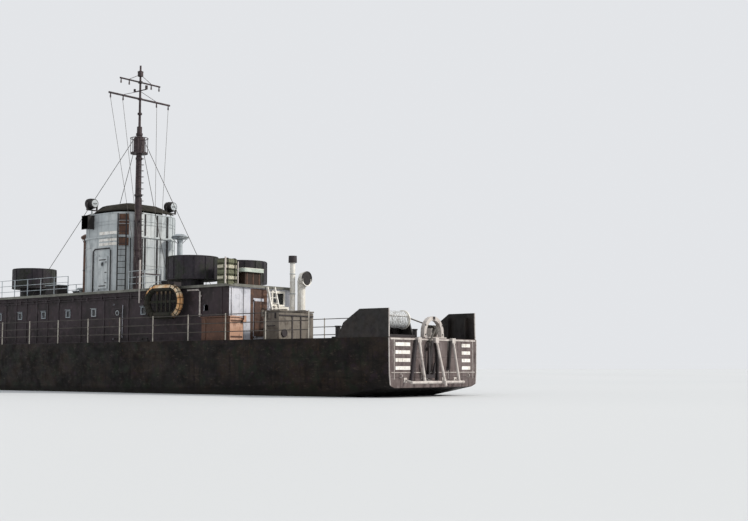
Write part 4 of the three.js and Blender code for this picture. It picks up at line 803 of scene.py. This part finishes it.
# Roof locker: battens and a pale lid
battens = Piece("roof_locker_fittings", "brown")
for y in (BOX_Y - 0.42, BOX_Y, BOX_Y + 0.42):
    battens.box(BOX_X - 0.395, BOX_X - 0.381, y - 0.03, y + 0.03, ROOF + 0.02, ROOF + 0.7)
battens.use("white")
battens.block(BOX_X, BOX_Y, 0.48, 0.66, ROOF + 0.901, ROOF + 0.92)
battens.make(0.004)


# Side floats: lashings and a becket line round the ring, and a net inside
def float_ring(t):
    """A point on the middle line of a side float, and the way out from it."""
    c, s = math.cos(t), math.sin(t)
    return (FLOAT_X + math.copysign(FLOAT_FLAT, c) + FLOAT_BEND * c, FLOAT_Z + FLOAT_BEND * s), (c, s)


net_bend = 0.56
for name, side in NAMED_SIDES:
    wrap = Piece("life_float_lashing_" + name, "canvas")
    for t in turns(16, 0.5):
        (x, z), (c, s) = float_ring(t)
        wrap.torus((x, side * FLOAT_Y, z), (-s, 0, c), 0.178, 0.016, 14, 6)
    becket = []
    for t in turns(64):
        (x, z), (c, s) = float_ring(t)
        reach = 0.185 + 0.055 * abs(math.sin(8 * t + math.pi / 2))
        becket.append((x + c * reach * 0.75, side * (FLOAT_Y + reach * 0.62), z + s * reach * 0.75))
    wrap.tube(becket, 0.014, 6, closed=True)
    wrap.make()
    net = Piece("life_float_net_" + name, "rubber")
    y = side * (FLOAT_Y - 0.045)
    for i in range(15):
        away = -1.05 + i * 0.15
        reach = math.sqrt(net_bend**2 - max(0, abs(away) - FLOAT_FLAT) ** 2)
        x = FLOAT_X + away
        net.post(x, y, FLOAT_Z - reach, FLOAT_Z + reach, 0.013, 5)
    y = side * (FLOAT_Y - 0.055)
    for i in range(7):
        rise = -0.48 + i * 0.16
        reach = FLOAT_FLAT + math.sqrt(net_bend**2 - rise**2)
        z = FLOAT_Z + rise
        net.rod((FLOAT_X - reach, y, z), (FLOAT_X + reach, y, z), 0.013, 5)
    net.make()


# Tower: bands, ribs, white bars, the door's surround and painted strips
STEPS = 12


def tower_point(turn, grow=0.0, z=0.0):
    """A point on the tower's outline in the direction of an angle of its round corners."""
    flat = TOWER_HALF - TOWER_CORNER
    c, s = math.cos(turn), math.sin(turn)
    reach = TOWER_CORNER + grow
    return Vector((TOWER_X + math.copysign(flat, c) + reach * c, math.copysign(flat, s) + reach * s, z))


def tower_loop(grow, z):
    """The tower's outline in points, corner by corner, from its forward port one."""
    points = []
    for quarter in range(4):
        for i in range(STEPS + 1):
            t = math.pi / 2 * (quarter + min(max(i / STEPS, 1e-4), 1 - 1e-4))
            points.append(tower_point(t, grow, z))
    return points


def curve_band(piece, side, start, stop, z0, z1, low, high, steps=8):
    """A strip on a round corner of the tower between two angles, to port or mirrored to starboard."""
    for i in range(steps):
        angles = [math.radians(start + (stop - start) * (i + k) / steps) for k in (0, 1)]
        near = [tower_point(t, low) for t in angles]
        far = [tower_point(t, high) for t in angles]
        order = (near[0], far[0], far[1], near[1]) if side > 0 else (near[1], far[1], far[0], near[0])
        piece.add([(p.x, side * p.y, z) for z in (z0, z1) for p in order], BOX_FACES)


bands = Piece("tower_bands", "tower")
for z, radius in ((ROOF + 0.06, 0.04), (BRIDGE + 0.62, 0.016), (BRIDGE_TOP - 0.41, 0.014)):
    bands.tube(tower_loop(0.012, z), radius, 6, closed=True)
# Two bands stop at the door, so each starts after it with the second corner
for z in (6.62, 7.6):
    loop = tower_loop(0.012, z)
    clear = [p for p in loop if not (p.y > 1.9 and TOWER_X - 0.95 < p.x < TOWER_X + 0.35)]
    bands.tube(clear[STEPS + 1:] + clear[:STEPS + 1], 0.016, 6)
bands.tube(tower_loop(-0.02, BRIDGE_TOP + 0.01), 0.045, 8, closed=True)
bands.make()

uprights = Piece("tower_ribs", "tower")
for degrees in (20, 42, 66, 114, 160, 186, 205, 228, 250, 292, 318, 340):
    foot = tower_point(math.radians(degrees), 0.015)
    for z0, z1 in ((ROOF + 0.1, BRIDGE - 0.12), (BRIDGE + 0.04, BRIDGE_TOP - 0.04)):
        uprights.post(foot.x, foot.y, z0, z1, 0.022, 6)
uprights.use("dark")
back = TOWER_X - TOWER_HALF
for y in (0.72, -0.1, -0.78):
    uprights.box(back - 0.05, back - GAP, y - 0.035, y + 0.035, ROOF + 0.1, BRIDGE - 0.12)
    uprights.box(back - 0.05, back - GAP, y - 0.03, y + 0.03, BRIDGE + 0.02, BRIDGE_TOP - 0.03)
uprights.make()

bars = Piece("tower_marks", "mark")
for z0, z1 in ((7.66, 7.81), (7.89, 8.02), (8.24, 8.4)):
    for side in SIDES:
        band = across(side, TOWER_HALF, GAP, 0.012)
        bars.box(TOWER_X - 0.72, TOWER_X + 0.06, *band, z0, z1)
        curve_band(bars, side, 91, 116, z0, z1, GAP, 0.012)
bars.make()

surround = Piece("tower_door_surround", "dark")
low, bend, top = ROOF + 0.02, 7.38, 7.5
outline = [(TOWER_X + ahead, TOWER_HALF + 0.05, z) for ahead, z in
           ((-0.95, low), (-0.95, bend), (-0.85, top), (0.35, top), (0.5, bend), (0.5, low))]
surround.tube(outline, 0.035, 8)
surround.make()

strips = Piece("tower_strips", "brown")
for z0, z1 in ((7.62, BRIDGE - 0.12), (BRIDGE + 0.04, BRIDGE_TOP - 0.06)):
    curve_band(strips, 1, 118, 141, z0, z1, GAP, 0.013)
strips.use("white")
curve_band(strips, 1, 161, 171, ROOF + 1.4, BRIDGE - 0.14, GAP, 0.012, 4)
strips.use("dark")
for degrees in (173, 144):
    curve_band(strips, 1, degrees, degrees + 2, ROOF + 0.12, BRIDGE - 0.14, GAP, 0.03, 2)
strips.make()

# Doors: hinges on each, cross bars and a round window on those that face port and starboard
for name, x, wall, z, side in (
    ("tower_door", TOWER_X - 0.7, TOWER_HALF, ROOF + 0.2, 1),
    ("port_door", DOOR_X, HOUSE_HALF, DECK + 0.25, 1),
    ("starboard_door", DOOR_X, HOUSE_HALF, DECK + 0.25, -1),
):
    leaf = Piece(name + "_fittings", "dark", name)
    face = wall + 0.064
    for rise in (0.3, 0.85, 1.4):
        hinge = across(side, face, 0, 0.035)
        leaf.box(x + 0.03, x + 0.16, *hinge, z + rise - 0.02, z + rise + 0.02)
    for rise in (0.12, 1.5):
        leaf.box(x + 0.1, x + 0.66, *across(side, face, 0, 0.012), z + rise, z + rise + 0.05)
    leaf.use("glass").disc((x + 0.38, side * (face + 0.008), z + 1.3), OUT, 0.11, 0.012, 18)
    leaf.use("pale").torus((x + 0.38, side * (face + 0.01), z + 1.3), OUT, 0.12, 0.018, 18, 6)
    leaf.make(0.003)

leaf = Piece("after_door_fittings", "dark", "after_door")
for rise in (0.35, 0.85, 1.35):
    z = DECK + 0.25 + rise
    leaf.box(HOUSE_BACK - 0.1, HOUSE_BACK - 0.065, -0.05, 0.07, z - 0.02, z + 0.02)
leaf.make(bevel=0.003)

# Tower: the window in its forward face
front, low, high = TOWER_X + TOWER_HALF, ROOF + 1.6, ROOF + 2.0
pane = Piece("tower_port_glass", "glass")
pane.box(front - 0.05, front - 0.035, -0.298, 0.298, low + 0.002, high - 0.002)
pane.make()

frame_bars = Piece("tower_port_rims", "pale")
for z in (low - 0.04, high):
    frame_bars.box(front + GAP, front + 0.03, -0.36, 0.36, z, z + 0.04)
for y in (-0.36, 0.32):
    frame_bars.box(front + GAP, front + 0.03, y, y + 0.04, low - 0.04, high + 0.04)
frame_bars.make(0.004)

# Bridge canvas: one sheet stretched over the stiff cover, with a corner open at each search light
CANVAS_LOW, CANVAS_RISE, CANVAS_IN = BRIDGE_TOP + 0.12, 0.5, 1.02
CLEAR = 0.016
RING = 8 * STEPS
OPENING = 0.63


def canvas_ring(grow, z):
    """Points round the canvas, with as many steps to each side as to each corner."""
    corners = tower_loop(grow, z)
    ring = []
    for i, point in enumerate(corners):
        ring.append(point)
        if i % (STEPS + 1) == STEPS:
            after = corners[(i + 1) % len(corners)]
            ring += [point.lerp(after, k / STEPS) for k in range(1, STEPS)]
    return ring


rings = []
for row in range(9):
    share = row / 8
    swell = 0.06 * math.sin(math.pi * share)
    ring = canvas_ring(0.02 - CANVAS_IN * share, CANVAS_LOW + CANVAS_RISE * share)
    rises = [CLEAR + swell * (0.35 + 0.65 * abs(k % 8 / 4 - 1)) for k in range(RING)]
    rings.append([p + Vector((0, 0, rise)) for p, rise in zip(ring, rises)])
for row in range(1, 7):
    share = 1 - row / 6.2
    z = CANVAS_LOW + CANVAS_RISE + CLEAR + 0.09 * (1 - share**2)
    rings.append([Vector((TOWER_X + (p.x - TOWER_X) * share, p.y * share, z)) for p in ring])
quads = []
for start in range(0, (len(rings) - 1) * RING, RING):
    for k in range(RING):
        after = (k + 1) % RING
        quads.append((start + k, start + after, start + RING + after, start + RING + k))
last = (len(rings) - 1) * RING
canvas = Piece("bridge_canvas", "canvas")
canvas.add([p for ring in rings for p in ring], quads + [tuple(range(last, last + RING))])
canopy = canvas.make(smooth=60)

cloth = bmesh.new()
cloth.from_mesh(canopy.data)
for _, x, y in LAMPS:
    side = math.copysign(1, y)
    cuts = (((x - OPENING, 0, 0), AHEAD), ((x + OPENING, 0, 0), AHEAD),
            ((0, y - side * OPENING, 0), OUT))
    for point, normal in cuts:
        whole = cloth.verts[:] + cloth.edges[:] + cloth.faces[:]
        bmesh.ops.bisect_plane(cloth, geom=whole, plane_co=Vector(point) * S, plane_no=normal)
    middles = [(face, face.calc_center_median() / S) for face in cloth.faces]
    opened = [face for face, m in middles if abs(m.x - x) < OPENING and side * (m.y - y) > -OPENING]
    bmesh.ops.delete(cloth, geom=opened, context="FACES")
cloth.to_mesh(canopy.data)
cloth.free()
thick = canopy.modifiers.new("thickness", "SOLIDIFY")
thick.thickness = 0.003
thick.offset = 1

# Bridge: compass stand, voice pipes and a chest
bridge = Piece("bridge_gear", "dark")
x = TOWER_X + 0.9
bridge.post(x, 0, BRIDGE, BRIDGE + 0.95, 0.16, 16, 0.13)
bridge.post(x, 0, BRIDGE + 0.95, BRIDGE + 1.12, 0.2, 16, 0.14)
x = TOWER_X + 1.35
for y in (-0.75, 0.75):
    voice = [(x, y, BRIDGE), (x, y, BRIDGE + 0.95), (x - 0.15, y, BRIDGE + 1.1)]
    bridge.tube(voice, 0.05, 10, radii=[0.05, 0.05, 0.1])
bridge.box(TOWER_X - 1.6, TOWER_X - 1.15, -0.5, 0.5, BRIDGE + GAP, BRIDGE + 0.5)
bridge.make(bevel=0.01)

# Side lights: a screen at each side of the bridge
for name, side in NAMED_SIDES:
    screen = Piece("side_light_" + name, "dark")
    x, low, high = TOWER_X + 0.55, BRIDGE + 0.42, BRIDGE_TOP - 0.05
    screen.box(x - 0.02, x + 0.52, *across(side, TOWER_HALF, 0.39, 0.42), low, high)
    band = across(side, TOWER_HALF, 0.01, 0.42)
    screen.box(x - 0.04, x - GAP, *band, low, high)
    screen.box(x - 0.06, x + 0.54, *band, high - 0.01, high + 0.02)
    screen.make(bevel=0.005)

# Search lights: lens, bezel, fins and a handle, each on its own body
for body, x, y in LAMPS:
    z = BRIDGE_TOP + 0.694
    lamp = Piece(body + "_details", "lens", body)
    lamp.disc((x + 0.242, y, z), AHEAD, 0.25, 0.014, 24)
    lamp.use("dark").torus((x + 0.24, y, z), AHEAD, 0.275, 0.024, 24, 6)
    for ahead in (-0.12, -0.04, 0.04, 0.12):
        lamp.torus((x + ahead, y, z), AHEAD, 0.277 + ahead / 8, 0.01, 24, 5)
    lamp.use("pale").disc((x - 0.243, y, z), AHEAD, 0.2, 0.012, 22)
    handle = [(x - back, y + out, z) for back, out in ((0.24, -0.1), (0.3, -0.08), (0.3, 0.08), (0.24, 0.1))]
    lamp.use("dark").tube(handle, 0.014, 6)
    lamp.make()


# Mast: rungs, bands, yard blocks, conduits, clamps to the tower, mast head and lookout rail
def at_mast(ahead, out, z):
    """A point at a distance from the mast's middle line."""
    return (MAST_X + ahead, MAST_Y + out, z)


rigging = Piece("mast_fittings", "mast")
for i in range(21):
    z = ROOF + 0.6 + i * 0.32
    r = 0.18 - 0.045 * (z - ROOF) / 8.7
    rung = [at_mast(ahead, out, z) for ahead, out in
            ((-r * 0.7, 0.12), (-r - 0.12, 0.12), (-r - 0.12, -0.12), (-r * 0.7, -0.12))]
    rigging.tube(rung, 0.014, 5)
for radius, heights in ((0.21, (7.4, 10.25)), (0.18, (12.2, 13.5)), (0.12, (14.6, 15.4, 16.3))):
    for z in heights:
        rigging.post(MAST_X, MAST_Y, z - 0.05, z + 0.05, radius, 14)
for z, half in YARDS:
    for out in (-half * 0.95, -half * 0.55, half * 0.55, half * 0.95):
        x, y = MAST_X, MAST_Y + out
        rigging.post(x, y, z - 0.02, z - 0.16, 0.03)
        rigging.block(x, y, 0.025, 0.03, z - 0.26, z - 0.14)
    for out in (-half * 0.6, half * 0.6):
        rigging.rod(at_mast(0, out, z), at_mast(0, 0, z + 0.42), 0.014, 5)
for ahead, out, top in ((0.0, 0.2, 12.3), (0.16, -0.14, 12.3), (-0.15, -0.14, 10.1)):
    rigging.rod(at_mast(ahead, out, ROOF + 0.05), at_mast(ahead * 0.7, out * 0.7, top), 0.045, 8)
for z in (6.9, 8.9):
    rigging.block(MAST_X, MAST_Y, 0.24, 0.05, z - 0.05, z + 0.05)
    rigging.rod(at_mast(0.1, 0, z), (TOWER_X - 1.74, 1.19, z), 0.04, 8)
rigging.post(MAST_X, MAST_Y, MAST_HEAD, MAST_HEAD + 0.24, 0.15, 14)
rigging.post(MAST_X, MAST_Y, MAST_HEAD + 0.24, MAST_HEAD + 0.3, 0.17, 14, 0.08)
arm_z = 15.85
rigging.rod(at_mast(-0.5, 0, arm_z), at_mast(0.45, 0, arm_z), 0.03, 8)
rigging.post(MAST_X - 0.5, MAST_Y, arm_z, arm_z + 0.2, 0.07, 10)
rigging.post(MAST_X + 0.45, MAST_Y, arm_z, arm_z + 0.15, 0.06, 10)
lookout_low, lookout_high = 12.5, 13.28
hoop = [at_mast(0.46 * math.cos(t), 0.46 * math.sin(t), lookout_high) for t in turns(24)]
rigging.tube(hoop, 0.022, 6, closed=True)
for t in turns(8):
    x, y = MAST_X + 0.44 * math.cos(t), MAST_Y + 0.44 * math.sin(t)
    rigging.post(x, y, lookout_low, lookout_high, 0.016, 6)
rigging.make()

# Stays, halyards and the rack where the halyards end
rack = 0.9
stays = Piece("mast_stays", "wire")
for ahead, y in ((-3.4, 2.1), (-2.2, -2.1), (9.0, 1.6), (8.0, -2.1)):
    stays.rod((MAST_X + ahead, y, ROOF), at_mast(0, 0, 13.7), 0.016, 5)
for out in (-1.95, -1.15, 1.15, 1.95):
    stays.rod(at_mast(0, out, 15.15), at_mast(-rack, out * 0.36, ROOF + 0.9), 0.011, 5)
stays.make()

pins = Piece("halyard_rack", "mast")
pins.rod(at_mast(-rack, -0.85, ROOF + 0.88), at_mast(-rack, 0.85, ROOF + 0.88), 0.035, 8)
for out in (-0.8, 0.75):
    pins.post(MAST_X - rack, MAST_Y + out, ROOF, ROOF + 0.92, 0.04)
pins.make()

# Tubs: stiffeners, beads at the rim and foot, and a bolted base ring inside
for name, x, y, floor, radius in (
    ("bow_tub", 18.6, 0.0, deck_height(18.6) + 1.0, 1.2),
    ("middle_tub", HOUSE_FRONT - 1.5, 0.0, ROOF + 0.7, 1.25),
    ("port_tub", STERN + 13.5, 1.72, ROOF + 0.4, 1.25),
    ("starboard_tub", STERN + 13.5, -1.72, ROOF + 0.4, 1.25),
):
    dress = Piece(name + "_ribs", "tub")
    for t in turns(14, 0.5):
        rib_x, rib_y = x + math.cos(t) * (radius + 0.012), y + math.sin(t) * (radius + 0.012)
        dress.post(rib_x, rib_y, floor - 0.03, floor + 1.06, 0.02, 5)
    dress.torus((x, y, floor + 1.08), UP, radius - 0.02, 0.032, 32, 8)
    dress.torus((x, y, floor - 0.03), UP, radius, 0.03, 32, 8)
    dress.use("dark").post(x, y, floor, floor + 0.04, 0.45, 20)
    for t in turns(8):
        bolt = (x + 0.38 * math.cos(t), y + 0.38 * math.sin(t), floor + 0.05)
        dress.disc(bolt, UP, 0.03, 0.03, 6)
    dress.make()

# Ventilators: rims and clamps, the cowl's lip and a dark disc in its mouth as painted shade, and the galley
# pipe's black cap
caps = Piece("vent_rims", "dark")
for x, y, pipe, cap, top in ((TOWER_X + 2.7, 0.8, 0.22, 0.36, ROOF + 3.4),
                             (TOWER_X - 2.7, -1.15, 0.15, 0.45, ROOF + 3.2)):
    caps.torus((x, y, top - 0.18), UP, cap - 0.005, 0.022, 22, 6)
    caps.torus((x, y, ROOF + 1.4), UP, pipe + 0.005, 0.018, 18, 6)
    for k in range(4):
        t = math.pi * k / 2 + 0.4
        c, s = math.cos(t), math.sin(t)
        foot = (x + pipe * c, y + pipe * s, top - 0.5)
        caps.rod(foot, (x + cap * 0.9 * c, y + cap * 0.9 * s, top - 0.25), 0.014, 5)
caps.make()

cowl = Piece("cowl_lip", "dark")
mouth = (1, 0, 0.07)
cowl.torus((COWL_X - 0.01, COWL_Y, COWL_Z), mouth, 0.35, 0.03, 22, 6)
# Painted shade: a dark disc inside the cowl's mouth.
cowl.disc((COWL_X, COWL_Y, COWL_Z), mouth, 0.31, 0.02, 22)
cowl.post(GALLEY_X, GALLEY_Y, DECK + 3.97, DECK + 4.31, 0.215, 18, 0.208)
cowl.make()

# Bow: hand rails on the gangway ramps, chain stoppers and a post
for name, side in NAMED_SIDES:
    ramp = Piece(name + "_ramp_rail", "steel", name + "_ramp")
    y = side * 3.1
    for i in range(9):
        x = 9.6 + i * 1.3
        ramp.post(x, y, 3.46, 4.2, 0.018, 6)
    for z in (3.85, 4.2):
        ramp.rod((9.6, y, z), (20.0, y, z), 0.012, 5)
    ramp.make()

cable = Piece("bow_gear", "dark")
x = 22.25
back, front = x - 0.25, x + 0.25
for side in SIDES:
    y = side * 0.55
    cable.box(back, front, y - 0.12, y + 0.12, deck_height(back) + GAP, deck_height(front) + 0.12)
    cable.post(x, y, deck_height(x), deck_height(x) + 0.34, 0.08, 12)
x, y = 19.9, 0.3
cable.post(x, y, deck_height(x), deck_height(x) + 0.5, 0.09, 14)
cable.make(bevel=0.01)

# Floor at the waterline
floor_mesh = bpy.data.meshes.new("floor")
reach, sides = 400, 96
rim = [(reach * math.cos(t), reach * math.sin(t), 0) for t in turns(sides)]
floor_mesh.from_pydata(rim, [], [list(range(sides))])
floor = bpy.data.objects.new("floor", floor_mesh)
floor_shade = Shade("floor_pale", 0.0, 0.2)
tone = floor_shade.mix(floor_shade.noise(0.05, 2, 0.5), linear(0xC9CCCE), linear(0xD2D4D5))
floor_mesh.materials.append(floor_shade.finish(tone, 0.7, floor_shade.noise(3.0), 0.02))
scene.collection.objects.link(floor)
